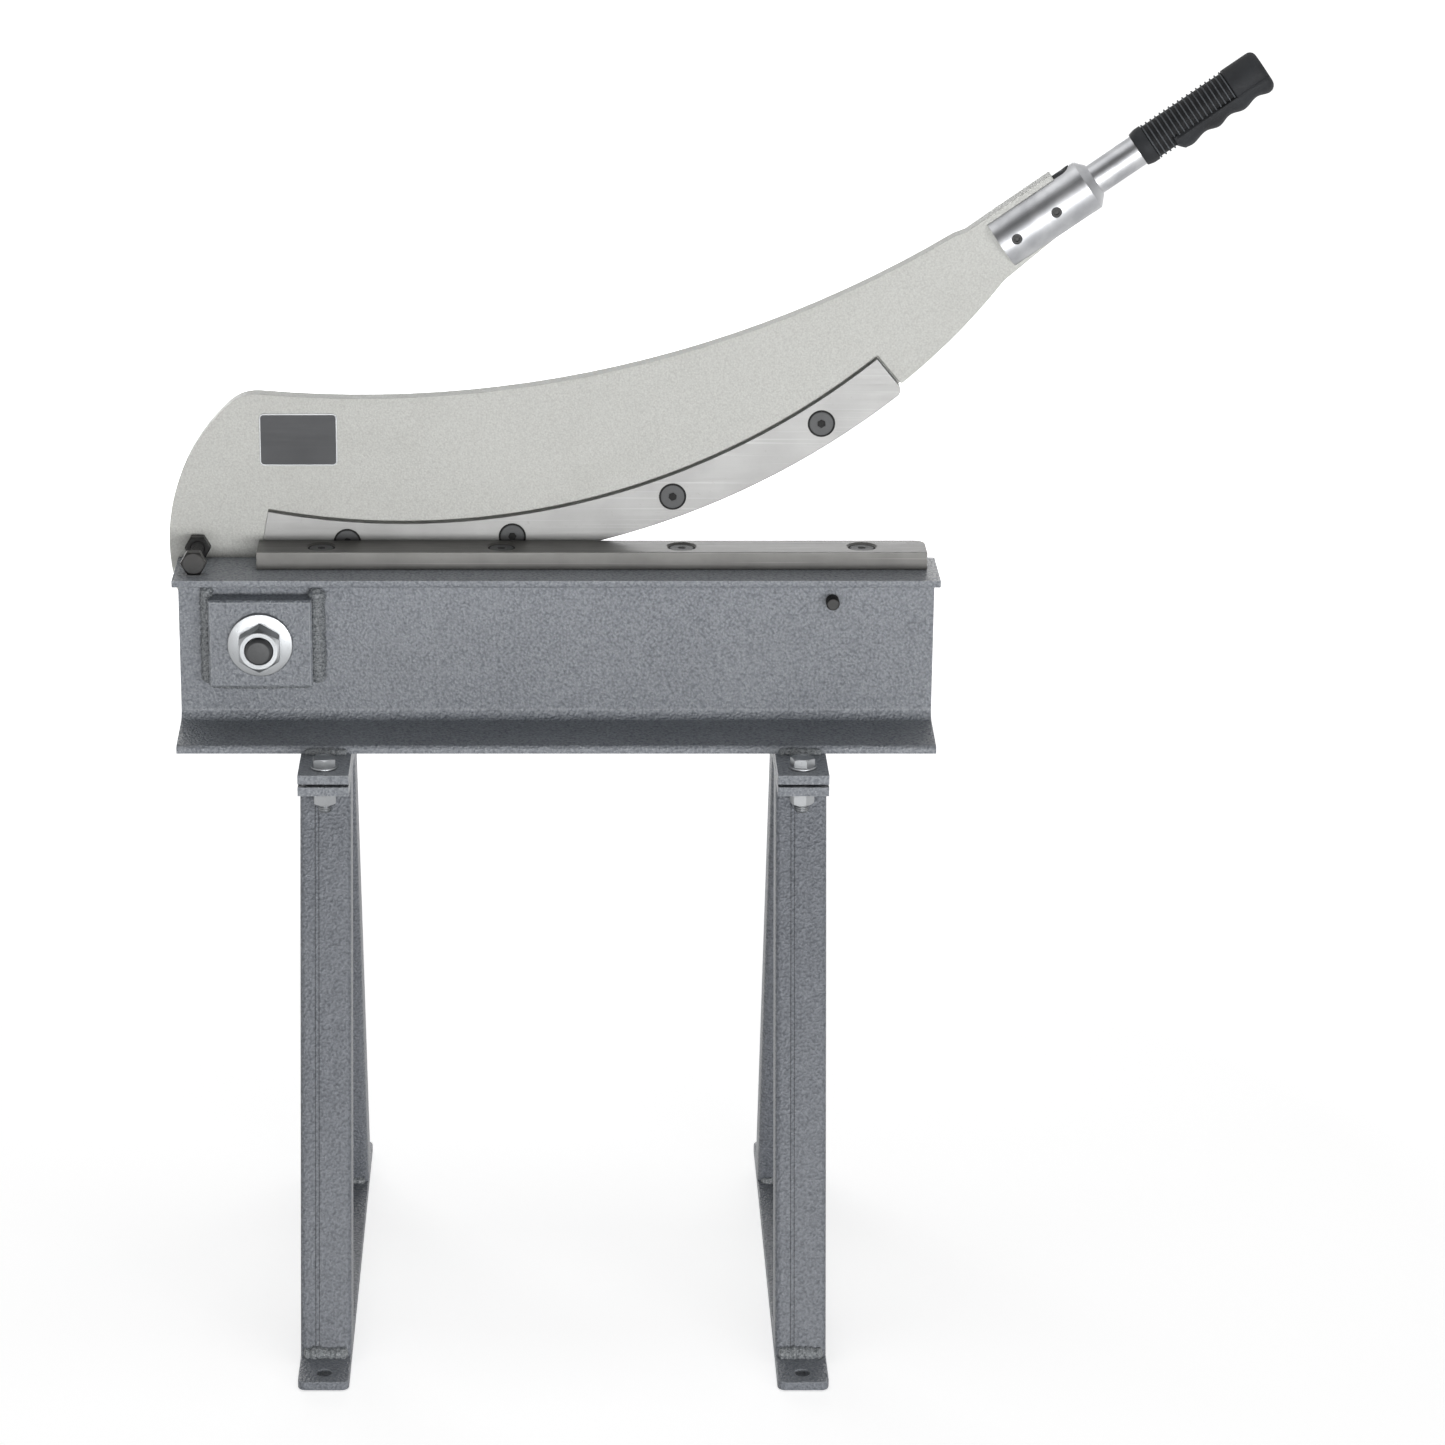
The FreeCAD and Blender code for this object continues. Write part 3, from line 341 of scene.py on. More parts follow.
materials = {
    "stand_paint": makeHammeredPaint("hammeredPaint", **hammeredPaint),
    "arm_paint": makeHammeredPaint("armPaint", **armPaint),
    "upper_blade_steel": makeBladeSteel("upperBladeSteel", **upperSteel),
    "lower_blade_steel": makeBladeSteel("lowerBladeSteel", **lowerSteel),
    "black_bolt": makeFastenerSteel("blackOxide", **blackOxide),
    "zinc_bolt": makeFastenerSteel("brightZinc", **brightZinc),
    "handle_steel": makeTurnedSteel("turnedSteel", axis=handleAxis, **turnedSteel),
    "grip_rubber": makeGripRubber("gripRubber", **gripRubber),
}
finishes = {
    "shadedLegPaint": makeHammeredPaint("shadedLegPaint", **shadedLegPaint),
    "seamGrooveShade": makeHammeredPaint("seamGrooveShade", **seamGrooveShade),
    "weldPaint": makeHammeredPaint("weldPaint", **weldPaint),
    "screwFace": makeFastenerSteel("screwFace", **screwFace),
    "screwGap": makeFastenerSteel("screwGap", **screwGap),
    "gripBody": makeGripRubber("gripBody", **gripBody),
    "plateBare": makePlateFinish("plateBare", **plateBare),
    "plateBorder": makePlateFinish("plateBorder", **plateBorder),
}
print("materials:", len(materials) + len(finishes))


# meshes

def finishObject(name, mesh, replaced=(), slot=None, body=None, finish=None, place=None):
    # what stands for a node takes that node's slot and body
    for node in replaced:
        slot, body = slotOf[node], bodyOf[node]
    if place:
        mesh.transform(place)
    mesh.name = name
    piece = looseObject(name, mesh)
    mesh.materials.clear()
    mesh.materials.append(finishes[finish] if finish else materials[slot])
    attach(piece, body)
    if replaced:
        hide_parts(*replaced)


def looseObject(name, data):
    piece = bpy.data.objects.new(name, data)
    bpy.context.scene.collection.objects.link(piece)
    return piece


def plainMesh(piece):
    # the evaluated shape as a plain mesh, and the object that made it goes
    depsgraph = bpy.context.evaluated_depsgraph_get()
    mesh = bpy.data.meshes.new_from_object(piece.evaluated_get(depsgraph), depsgraph=depsgraph)
    bpy.data.objects.remove(piece)
    return mesh


def meshFrom(shape, sharp):
    # a smooth mesh that breaks only at edges sharper than this angle
    for face in shape.faces:
        face.smooth = True
    mesh = bpy.data.meshes.new("shape")
    shape.to_mesh(mesh)
    shape.free()
    mesh.set_sharp_from_angle(angle=math.radians(sharp))
    return mesh


edgeRound = dict(merge=2e-6, flat=0.4, steps=2, sharpest=28, sharpAfter=40)


def softened(node, width, avoid=(), room=0.0, holes=None):
    # a copy of a node's shape with its sharp edges rounded, for the highlights there; lengths in mm
    shape = bmesh.new()
    shape.from_mesh(frame["nodes"][node].data)
    bmesh.ops.remove_doubles(shape, verts=shape.verts, dist=edgeRound["merge"])
    bmesh.ops.dissolve_limit(shape, angle_limit=math.radians(edgeRound["flat"]), verts=shape.verts,
                             edges=shape.edges)
    edgeLayer = shape.faces.layers.float.new("edge")
    limit = math.radians(edgeRound["sharpest"])

    def chosen(edge):
        if len(edge.link_faces) != 2 or edge.calc_face_angle(0) < limit:
            return False
        centre = (edge.verts[0].co + edge.verts[1].co) / 2
        return all((centre - place).length > room * mm for place in avoid)

    made = bmesh.ops.bevel(shape, geom=[e for e in shape.edges if chosen(e)], offset=width * mm,
                           segments=edgeRound["steps"], profile=0.5, affect="EDGES", clamp_overlap=True)
    # the rounded faces are marked for a painted edge highlight
    for face in made["faces"]:
        face[edgeLayer] = 1.0
    piece = looseObject("softened", meshFrom(shape, edgeRound["sharpAfter"]))
    if holes:
        cut = piece.modifiers.new("drilled holes", "BOOLEAN")
        cut.operation = "DIFFERENCE"
        cut.solver = "EXACT"
        cut.object = holes
    weights = piece.modifiers.new("flat faces first", "WEIGHTED_NORMAL")
    weights.keep_sharp = True
    return plainMesh(piece)


def loftMesh(rings, sharp=30):
    # a closed skin over rings of equally many points
    shape = bmesh.new()
    shape.faces.layers.float.new("edge")
    rows = [[shape.verts.new(point) for point in ring] for ring in rings]
    count = len(rows[0])
    for row, following in zip(rows, rows[1:]):
        for j in range(count):
            k = (j + 1) % count
            shape.faces.new((row[j], row[k], following[k], following[j]))
    shape.faces.new(list(reversed(rows[0])))
    shape.faces.new(rows[-1])
    bmesh.ops.recalc_face_normals(shape, faces=shape.faces)
    return meshFrom(shape, sharp)


def hexRadius(acrossFlats, angle):
    return acrossFlats / 2 / math.cos((angle + math.pi / 6) % (math.pi / 3) - math.pi / 6)


def ringAt(height, radius, steps=96, flats=None, drop=0.0):
    # one ring in mm; with flats it is a hexagon, and drop lowers it where the corners pass a 30 degree cone
    ring = []
    for step in range(steps):
        angle = 2 * math.pi * step / steps
        out = hexRadius(flats, angle) if flats else radius
        rise = drop * (out - radius) * math.tan(math.radians(30)) if flats else 0.0
        ring.append(Vector((out * math.cos(angle), out * math.sin(angle), height - rise)) * mm)
    return ring


def ringsAt(*places):
    return [ringAt(height, radius) for height, radius in places]


def threadRings(low, high, radius, pitch):
    rings = []
    for turn in range(int((high - low) / pitch)):
        base = low + turn * pitch
        rings += ringsAt((base + 0.1 * pitch, radius), (base + 0.5 * pitch, radius - 0.45 * pitch),
                         (base + 0.9 * pitch, radius))
    return rings


def hexRings(low, high, flats, chamfers=("low", "high"), seat=0.94):
    # a hexagon from low to high, with its corners cut at the ends named in chamfers
    cone = flats / 2 * seat
    return [ringAt(low, cone), ringAt(low, cone, flats=flats, drop=-1.0 if "low" in chamfers else 0.0),
            ringAt(high, cone, flats=flats, drop=1.0 if "high" in chamfers else 0.0), ringAt(high, cone)]


def spunRings(rings):
    # turned by half a flat, so that a corner points up
    turn = Matrix.Rotation(math.pi / 6, 4, "Z")
    return [[turn @ point for point in ring] for ring in rings]


def roundedCorners(halfX, halfY, corner, steps=8):
    # a rectangle with round corners, as points about its middle
    points = []
    for sideX, sideY, start in ((1, 1, 0), (-1, 1, 90), (-1, -1, 180), (1, -1, 270)):
        for step in range(steps + 1):
            angle = math.radians(start + 90 * step / steps)
            points.append((sideX * (halfX - corner) + corner * math.cos(angle),
                           sideY * (halfY - corner) + corner * math.sin(angle)))
    return points


def joined(meshes):
    # several closed shapes as one mesh
    shape = bmesh.new()
    for mesh in meshes:
        shape.from_mesh(mesh)
    whole = bpy.data.meshes.new("joined")
    shape.to_mesh(whole)
    shape.free()
    return whole


# Geometry Nodes: one tree sets out whatever repeats, one lays a weld bead along a path

def endTree(tree, geometry, given, result):
    done = addNode(tree, "GeometryNodeSetMaterial", {"Geometry": geometry, "Material": given["Finish"]})
    feed(tree, result["Geometry"], done.outputs["Geometry"])
    tree.is_modifier = True
    return tree


def makeSetOut():
    tree, given, result = newGroup(
        "setOutPieces", "GeometryNodeTree",
        [("Geometry", "Geometry", None), ("Piece", "Object", None), ("Finish", "Material", None)],
        [("Geometry", "Geometry")])
    piece = addNode(tree, "GeometryNodeObjectInfo", {"Object": given["Piece"]}, transform_space="ORIGINAL")
    faced = addNode(tree, "GeometryNodeInputNamedAttribute", {"Name": "facing"}, data_type="FLOAT_VECTOR")
    spun = addNode(tree, "GeometryNodeInputNamedAttribute", {"Name": "spin"}, data_type="FLOAT")
    turn = addNode(tree, "FunctionNodeAlignRotationToVector", {"Vector": faced.outputs["Attribute"]}, axis="Z")
    roll = addNode(tree, "FunctionNodeAxisAngleToRotation", {"Axis": (0, 0, 1), "Angle": spun.outputs["Attribute"]})
    both = addNode(tree, "FunctionNodeRotateRotation", {
        "Rotation": turn.outputs["Rotation"], "Rotate By": roll.outputs["Rotation"]}, rotation_space="LOCAL")
    placed = addNode(tree, "GeometryNodeInstanceOnPoints", {
        "Points": given["Geometry"], "Instance": piece.outputs["Geometry"], "Rotation": both.outputs["Rotation"]})
    real = addNode(tree, "GeometryNodeRealizeInstances", {"Geometry": placed.outputs["Instances"]})
    return endTree(tree, real.outputs["Geometry"], given, result)


beadForm = dict(stride=0.0006, lumps=160.0, scallop=0.16, roughness=420.0, relief=0.0011, endFall=6.0, endLeast=0.12,
                around=20)


def makeWeldTree():
    tree, given, result = newGroup(
        "weldBead", "GeometryNodeTree",
        [("Geometry", "Geometry", None), ("Radius", "Float", 0.004), ("Ripple", "Float", 0.0035),
         ("Unevenness", "Float", 0.35), ("Finish", "Material", None)], [("Geometry", "Geometry")])
    fine = addNode(tree, "GeometryNodeResampleCurve", {"Curve": given["Geometry"], "Length": beadForm["stride"]},
                   mode="LENGTH")
    along = addNode(tree, "GeometryNodeSplineParameter").outputs
    place = addNode(tree, "GeometryNodeInputPosition").outputs["Position"]
    # size along the bead: scallops of the torch, lumps, and thin ends
    beat = times(tree, mathNode(tree, "DIVIDE", along["Length"], given["Ripple"]), math.pi)
    scallop = mathNode(tree, "ABSOLUTE", mathNode(tree, "SINE", beat))
    swell = plus(tree, times(tree, scallop, beadForm["scallop"]), 1 - beadForm["scallop"])
    lumps = mathNode(tree, "SUBTRACT", noise(tree, place, beadForm["lumps"], 2.0), 0.5)
    arch = times(tree, mathNode(tree, "SINE", times(tree, along["Factor"], math.pi)), beadForm["endFall"])
    ends = mathNode(tree, "POWER", mathNode(tree, "MINIMUM", plus(tree, arch, beadForm["endLeast"]), 1.0), 0.5)
    size = times(tree, plus(tree, swell, times(tree, lumps, given["Unevenness"])), ends)
    ring = addNode(tree, "GeometryNodeCurvePrimitiveCircle", {
        "Resolution": beadForm["around"], "Radius": given["Radius"]})
    bead = addNode(tree, "GeometryNodeCurveToMesh", {
        "Curve": fine.outputs["Curve"], "Profile Curve": ring.outputs["Curve"], "Scale": size, "Fill Caps": True})
    # fine roughness, pushed out along the surface
    rough = mathNode(tree, "SUBTRACT", noise(tree, place, beadForm["roughness"], 3.0), 0.5)
    outward = addNode(tree, "GeometryNodeInputNormal").outputs["Normal"]
    offset = addNode(tree, "ShaderNodeVectorMath", {
        0: outward, "Scale": times(tree, rough, beadForm["relief"])}, operation="SCALE")
    rugged = addNode(tree, "GeometryNodeSetPosition", {
        "Geometry": bead.outputs["Mesh"], "Offset": offset.outputs["Vector"]})
    return endTree(tree, rugged.outputs["Geometry"], given, result)


setOutPieces = makeSetOut()
weldBead = makeWeldTree()


def grown(data, tree, values):
    # data run through a tree, as a plain mesh
    holder = looseObject("holder", data)
    modifier = holder.modifiers.new(tree.name, "NODES")
    modifier.node_group = tree
    for item in tree.interface.items_tree:
        if item.item_type == "SOCKET" and item.in_out == "INPUT" and item.name in values:
            modifier[item.identifier] = values[item.name]
    return plainMesh(holder)


def setOut(mesh, spots, finish):
    # one copy of the mesh at each spot: place, direction of its Z, spin about it
    points = bpy.data.meshes.new("spots")
    points.from_pydata([tuple(spot[0]) for spot in spots], [], [])
    points.attributes.new("facing", "FLOAT_VECTOR", "POINT")
    points.attributes.new("spin", "FLOAT", "POINT")
    for index, spot in enumerate(spots):
        points.attributes["facing"].data[index].vector = spot[1]
        points.attributes["spin"].data[index].value = spot[2]
    pattern = looseObject("pattern", mesh)
    made = grown(points, setOutPieces, {"Piece": pattern, "Finish": finish})
    bpy.data.objects.remove(pattern)
    return made


def weldMesh(paths, radius, ripple, unevenness):
    curve = bpy.data.curves.new("path", "CURVE")
    curve.dimensions = "3D"
    for path in paths:
        spline = curve.splines.new("POLY")
        spline.points.add(len(path) - 1)
        for point, place in zip(spline.points, path):
            point.co = (*(Vector(place) * mm), 1.0)
    mesh = grown(curve, weldBead, {
        "Radius": radius * mm, "Ripple": ripple * mm, "Unevenness": unevenness, "Finish": finishes["weldPaint"]})
    for face in mesh.polygons:
        face.use_smooth = True
    return mesh


# rolled, cut and ground pieces keep their CAD shape and get rounded edges

screws = dict(lowerX=(-180.9, -46.2, 88.5, 223.2), lowerY=14.5, lowerTop=581.9, upperFace=31.3,
              upperPlaces=((-162.3, 580.1), (-38.3, 584.4), (81.9, 615.4), (192.4, 671.8)), nutMiddle=50.0,
              face=8.85, depth=1.3, key=5.5, keyDepth=3.0, gapInside=8.6, gapOutside=10.24)
lowerSpots = [Vector((x, screws["lowerY"], screws["lowerTop"])) * mm for x in screws["lowerX"]]
upperSpots = [Vector((x, screws["upperFace"], z)) * mm for x, z in screws["upperPlaces"]]
nutSpots = [Vector((x, screws["nutMiddle"], z)) * mm for x, z in screws["upperPlaces"]]

roundedEdges = {
    "beam_channel": dict(width=0.9),
    "arm_plate": dict(width=1.0, avoid=nutSpots, room=14.0),
    "lower_blade": dict(width=0.6, avoid=lowerSpots, room=12.5),
    "upper_blade": dict(width=0.5, avoid=upperSpots, room=12.5),
    "pivot_block": dict(width=0.5),
}
for plate in ("bracket_plate", "leg_top_plate", "floor_bar"):
    for side in ("left", "right"):
        roundedEdges[plate + "_" + side] = dict(width=0.9)
for node, settings in roundedEdges.items():
    # the floor bars take the darker leg paint, painted shade
    finishObject(node + "_finish", softened(node, **settings), [node],
                 finish="shadedLegPaint" if node.startswith("floor_bar") else None)
print("rounded pieces:", len(roundedEdges))


# square tube of the legs, with its rounded corners and two low dark lines beside its welded seam, painted shade where
# the seam's grooves are

legX = {"left": -177.5, "right": 177.5}
legTube = dict(corner=4.6, bottom=7.0, top=417.3, slope=0.3095, front=-177.0, seams=(-7.6, -4.9), seamFoot=13.0,
               seamHead=416.8, seamSection=((-0.45, 0.3), (-0.2, -0.22), (0.2, -0.22), (0.45, 0.3)))


def tubeMesh(x, footY, headY, halfX, halfY):
    # a rounded square section between two level cuts
    section = roundedCorners(halfX, halfY, legTube["corner"])
    return loftMesh([[Vector((x + across, y + deep, height)) * mm for across, deep in section]
                     for height, y in ((legTube["bottom"], footY), (legTube["top"], headY))], sharp=50)


def seamMesh(x):
    rings = []
    for height in (legTube["seamFoot"], legTube["seamHead"]):
        face = legTube["front"] + legTube["slope"] * (height - legTube["bottom"])
        rings.append([Vector((x + across, face + out, height)) * mm for across, out in legTube["seamSection"]])
    return loftMesh(rings, sharp=60)


for side, x in legX.items():
    for end, sign in (("front", -1), ("rear", 1)):
        node = end + "_strut_" + side
        low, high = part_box(node)
        outer = max(abs(low.y), abs(high.y)) / mm
        inner = min(abs(low.y), abs(high.y)) / mm
        halfY = (outer - legTube["slope"] * (legTube["top"] - legTube["bottom"]) - inner) / 2
        tube = tubeMesh(x, sign * (outer - halfY), sign * (inner + halfY), (high.x - low.x) / mm / 2, halfY)
        finishObject(node + "_tube", tube, [node], finish="shadedLegPaint")
    lines = joined([seamMesh(x + across) for across in legTube["seams"]])
    finishObject("tube_seam_" + side, lines, (), "stand_paint", "stand", "seamGrooveShade")
print("leg tubes: 4")


# welds: the block's beads, and the same beads at all four struts

def atStruts(*points):
    # paths that repeat at both legs, front and back
    return [[(x + along, sign * y, z) for along, y, z in points] for x in legX.values() for sign in (-1, 1)]


welds = [
    dict(node="pivot_block_welds", name="block_weld_left", radius=5.4, ripple=5.5, unevenness=0.45, paths=[[
        (-268.2, 21.6, 472.5), (-268.6, 21.4, 500.0), (-268.1, 21.6, 525.0), (-268.5, 21.4, 549.0)]]),
    dict(node="pivot_block_welds", name="block_weld_right", radius=6.6, ripple=3.6, unevenness=0.55, paths=[[
        (-185.8, 19.9, 473.5), (-185.2, 19.6, 492.0), (-185.9, 19.8, 512.0), (-185.3, 19.6, 531.0),
        (-185.7, 19.8, 548.5)]]),
    dict(node="pivot_block_welds", name="block_weld_bottom", radius=4.2, ripple=5.0, unevenness=0.3, paths=[[
        (-267.5, 21.6, 472.3), (-228.0, 21.8, 471.6), (-190.0, 21.6, 472.4)]]),
    dict(node="foot_welds", name="foot_weld_outside", radius=5.6, ripple=4.6, unevenness=0.9, paths=atStruts(
        (-16.5, 175.6, 8.2), (-5, 176.4, 9.3), (4, 175.7, 8.5), (16.5, 176.1, 9.0))),
    dict(node="foot_welds", name="foot_weld_inside", radius=3.6, ripple=4.2, unevenness=0.6, paths=atStruts(
        (-16, 136.4, 8.0), (16, 136.2, 8.0))),
    dict(node="bracket_welds", name="bracket_weld_beads", radius=3.5, ripple=4.6, unevenness=0.7, paths=atStruts(
        (-16, 32.0, 434.6), (0, 32.3, 434.9), (16, 32.0, 434.5))),
]
for bead in welds:
    node, name = bead.pop("node"), bead.pop("name")
    finishObject(name, weldMesh(**bead), [node], finish="weldPaint")
print("weld beads:", len(welds))


# pivot: washer, nut and bolt, by height along -Y

pivot = dict(x=-227.8, z=507.5, washer=24.5, washerBore=10.6, washerBack=-7.0, washerFront=-4.0, backEase=0.3,
             frontEase=0.7, frontLip=0.2, nutFront=11.0, nutMouth=11.0, nutBore=10.02, flats=30.0, bolt=10.0,
             pitch=2.5, headStart=-46.05, headEnd=-58.55, shankEnd=8.4, thread=(8.6, 14.2),
             tip=((14.3, 9.7), (15.4, 8.7), (15.9, 8.2), (16.0, 7.8)))
pivotFrame = facing(Vector((pivot["x"], 0, pivot["z"])) * mm, toFront)


def pivotPieces():
    back, front, edge, bore = pivot["washerBack"], pivot["washerFront"], pivot["washer"], pivot["washerBore"]
    backEase, frontEase, lip = pivot["backEase"], pivot["frontEase"], pivot["frontLip"]
    washer = loftMesh(ringsAt((back, bore), (back, edge - backEase), (back + backEase, edge),
                              (front - frontEase, edge), (front - lip, edge - lip),
                              (front, edge - frontEase), (front, bore)), sharp=50)
    nut = loftMesh(hexRings(front, pivot["nutFront"], pivot["flats"])
                   + ringsAt((pivot["nutFront"], pivot["nutMouth"]), (pivot["nutFront"] - 1.0, pivot["nutBore"])),
                   sharp=25)
    head = spunRings(hexRings(pivot["headEnd"], pivot["headStart"], pivot["flats"], ("low",)))
    shaft = ringsAt((pivot["headStart"], pivot["bolt"]), (pivot["shankEnd"], pivot["bolt"]))
    thread = threadRings(*pivot["thread"], pivot["bolt"], pivot["pitch"])
    bolt = loftMesh(head + shaft + thread + ringsAt(*pivot["tip"]), sharp=25)
    finishObject("pivot_washer_piece", washer, ["pivot_washer"], place=pivotFrame)
    finishObject("pivot_nut_piece", nut, ["pivot_nut"], place=pivotFrame)
    finishObject("pivot_bolt_piece", bolt, ["pivot_bolt"], finish="screwFace", place=pivotFrame)


pivotPieces()


# the stop bolts, by height along -Y

stops = dict(shank=5.0, pitch=1.5, lowerX=202.6, lowerZ=536.8, lowerHead=-31.0, lowerEnd=-37.8, lowerFlats=16.0,
             lowerShank=-23.2, lowerThread=(-23.0, -14.0), lowerTip=((-13.9, 4.8), (-13.1, 4.2), (-13.0, 4.0)),
             armX=-274.4, armZ=577.5, armTail=((-46.0, 3.9), (-45.2, 4.7)), armThread=(-45.0, 2.0),
             armShank=2.2, collarStart=9.4, collar=7.6, armHead=10.2, armFace=17.0, armFlats=17.0,
             armSeat=0.9, nutBack=-32.0, nutFront=-24.0, nutMouth=5.5, nutBore=5.02)
lowerFrame = facing(Vector((stops["lowerX"], 0, stops["lowerZ"])) * mm, toFront)
armFrame = facing(Vector((stops["armX"], 0, stops["armZ"])) * mm, toFront)


def lowerStop():
    shank = stops["shank"]
    head = spunRings(hexRings(stops["lowerEnd"], stops["lowerHead"], stops["lowerFlats"], ("low",)))
    body = ringsAt((stops["lowerHead"], shank), (stops["lowerShank"], shank))
    thread = threadRings(*stops["lowerThread"], shank, stops["pitch"])
    return loftMesh(head + body + thread + ringsAt(*stops["lowerTip"]), sharp=25)


def armStop():
    shank, collar = stops["shank"], stops["collar"]
    thread = threadRings(*stops["armThread"], shank, stops["pitch"])
    neck = ringsAt((stops["armShank"], shank), (stops["collarStart"], shank),
                   (stops["collarStart"], collar), (stops["armHead"], collar))
    head = hexRings(stops["armHead"], stops["armFace"], stops["armFlats"], ("high",),
                    stops["armSeat"])
    return loftMesh(spunRings(ringsAt(*stops["armTail"]) + thread + neck + head), sharp=25)


def armStopNut():
    front = stops["nutFront"]
    return loftMesh(spunRings(hexRings(stops["nutBack"], front, stops["armFlats"]))
                    + ringsAt((front, stops["nutMouth"]), (front - 0.6, stops["nutBore"])), sharp=25)


finishObject("lower_stop_piece", lowerStop(), ["lower_stop_bolt"], place=lowerFrame)
finishObject("arm_stop_piece", armStop(), ["arm_stop_bolt"], place=armFrame)
finishObject("arm_nut_piece", armStopNut(), ["arm_stop_nut"], place=armFrame)
print("pivot and stop bolts ready")


# leg bolts: head and washer above the plates, nut and washer below, set out four times

legBolts = dict(y=62.5, flats=16.0, washer=10.25, washerBore=5.3, shank=5.0, pitch=1.5,
                tip=((398.8, 3.9), (399.8, 4.8)), thread=(400.0, 407.4), shankLow=407.6, dish=((0.0, 5.6), (-0.3, 5.0)),
                nutLow=405.7, nutHigh=415.4, nutBore=5.02, platesLow=417.3, platesHigh=433.5, headLow=435.4,
                headHigh=441.8, spins=((-1, -1, 0.12), (-1, 1, 0.4), (1, -1, 0.3), (1, 1, 0.0)))


def legBoltMesh():
    shank, low, high = legBolts["shank"], legBolts["headLow"], legBolts["headHigh"]
    thread = threadRings(*legBolts["thread"], shank, legBolts["pitch"])
    head = hexRings(low, high, legBolts["flats"], ("high",)) + ringsAt(*((high + z, r) for z, r in legBolts["dish"]))
    return loftMesh(ringsAt(*legBolts["tip"]) + thread
                    + ringsAt((legBolts["shankLow"], shank), (low, shank)) + head, sharp=25)


def legWasherMesh(low, high):
    edge, bore = legBolts["washer"], legBolts["washerBore"]
    return loftMesh(ringsAt((low, bore), (low, edge - 0.25), (low + 0.3, edge), (high - 0.3, edge),
                            (high, edge - 0.3), (high, bore)), sharp=50)


def legNutMesh():
    hexagon = hexRings(legBolts["nutLow"], legBolts["nutHigh"], legBolts["flats"])
    return loftMesh(ringsAt((legBolts["nutLow"] + 0.5, legBolts["nutBore"])) + hexagon, sharp=25)


legSpots = [(Vector((sx * legX["right"], sy * legBolts["y"], 0)) * mm, upward, spin)
            for sx, sy, spin in legBolts["spins"]]
boltSet = joined([legBoltMesh(), legWasherMesh(legBolts["platesHigh"], legBolts["headLow"])])
nutSet = joined([legNutMesh(), legWasherMesh(legBolts["nutHigh"], legBolts["platesLow"])])
for name, mesh, node in (("leg_bolt_pieces", boltSet, "leg_bolts"), ("leg_nut_pieces", nutSet, "leg_bolt_nuts")):
    finishObject(name, setOut(mesh, legSpots, materials["zinc_bolt"]), [node])
print("leg bolts:", len(legSpots))


# sunk screws of the blades: a black ring in the countersink and a grey face with its hexagon key

def keyedFace(radius, low, high, key, deep, edge=0.25):
    return loftMesh(ringsAt((low, radius * 0.96), (low, radius), (high - edge, radius), (high, radius - edge))
                    + [ringAt(high, 0, flats=key + 0.5), ringAt(high - 0.25, 0, flats=key),
                       ringAt(deep, 0, flats=key)])


def screwMeshes():
    sunk, inside, outside = -screws["depth"], screws["gapInside"], screws["gapOutside"]
    face = keyedFace(screws["face"], sunk - 0.3, sunk + 0.25, screws["key"],
                     -screws["keyDepth"])
    rim = loftMesh(ringsAt((sunk - 0.3, inside), (sunk - 0.3, outside), (sunk - 0.05, outside),
                           (sunk + 0.02, outside - 0.14), (sunk - 0.02, inside)), sharp=50)
    return face, rim


faceMesh, rimMesh = screwMeshes()
bladeSpots = {
    "stand": [(place, upward, 0.3 * index) for index, place in enumerate(lowerSpots)],
    "arm": [(place, toFront, 0.35 + 0.25 * index) for index, place in enumerate(upperSpots)],
}
for body, spots in bladeSpots.items():
    for start, mesh, finish in (("screw_faces_", faceMesh, "screwFace"), ("screw_rims_", rimMesh, "screwGap")):
        made = setOut(mesh, spots, finishes[finish])
        finishObject(start + body, made, (), "black_bolt", body, finish)
print("sunk screws:", sum(len(spots) for spots in bladeSpots.values()))


# handle: drilled socket with its set screws, rod, and the grip

handle = dict(socket=20.0, socketEdge=0.45, rod=12.0, rodStart=31.4, rodEnd=180.8, rodEase=0.5,
              setAt=(-28.9, 5.6), setHole=4.05, holeRoom=6.0, drillFrom=15.8, drillTo=24.0, setFace=3.85,
              setLow=18.2, setHigh=19.35, setKey=3.7, setDeep=16.2)


def alongHandle(s, out=0.0):
    # a place on the handle's front side: s mm along its axis, out mm from it towards the front
    return handleStart + handleAxis * (s * mm) + toFront * (out * mm)


def roundNormals(mesh, radius):
    # the drilled cylinder keeps its smooth roundness between the holes
    normals = []
    for face in mesh.polygons:
        for corner in face.loop_indices:
            place = mesh.vertices[mesh.loops[corner].vertex_index].co - handleStart
            outward = place - handleAxis * place.dot(handleAxis)
            onSkin = abs(outward.length - radius * mm) < 0.1 * mm and face.normal.dot(outward.normalized()) > 0.97
            normals.append(outward.normalized() if onSkin else mesh.corner_normals[corner].vector.copy())
    mesh.normals_split_custom_set(normals)


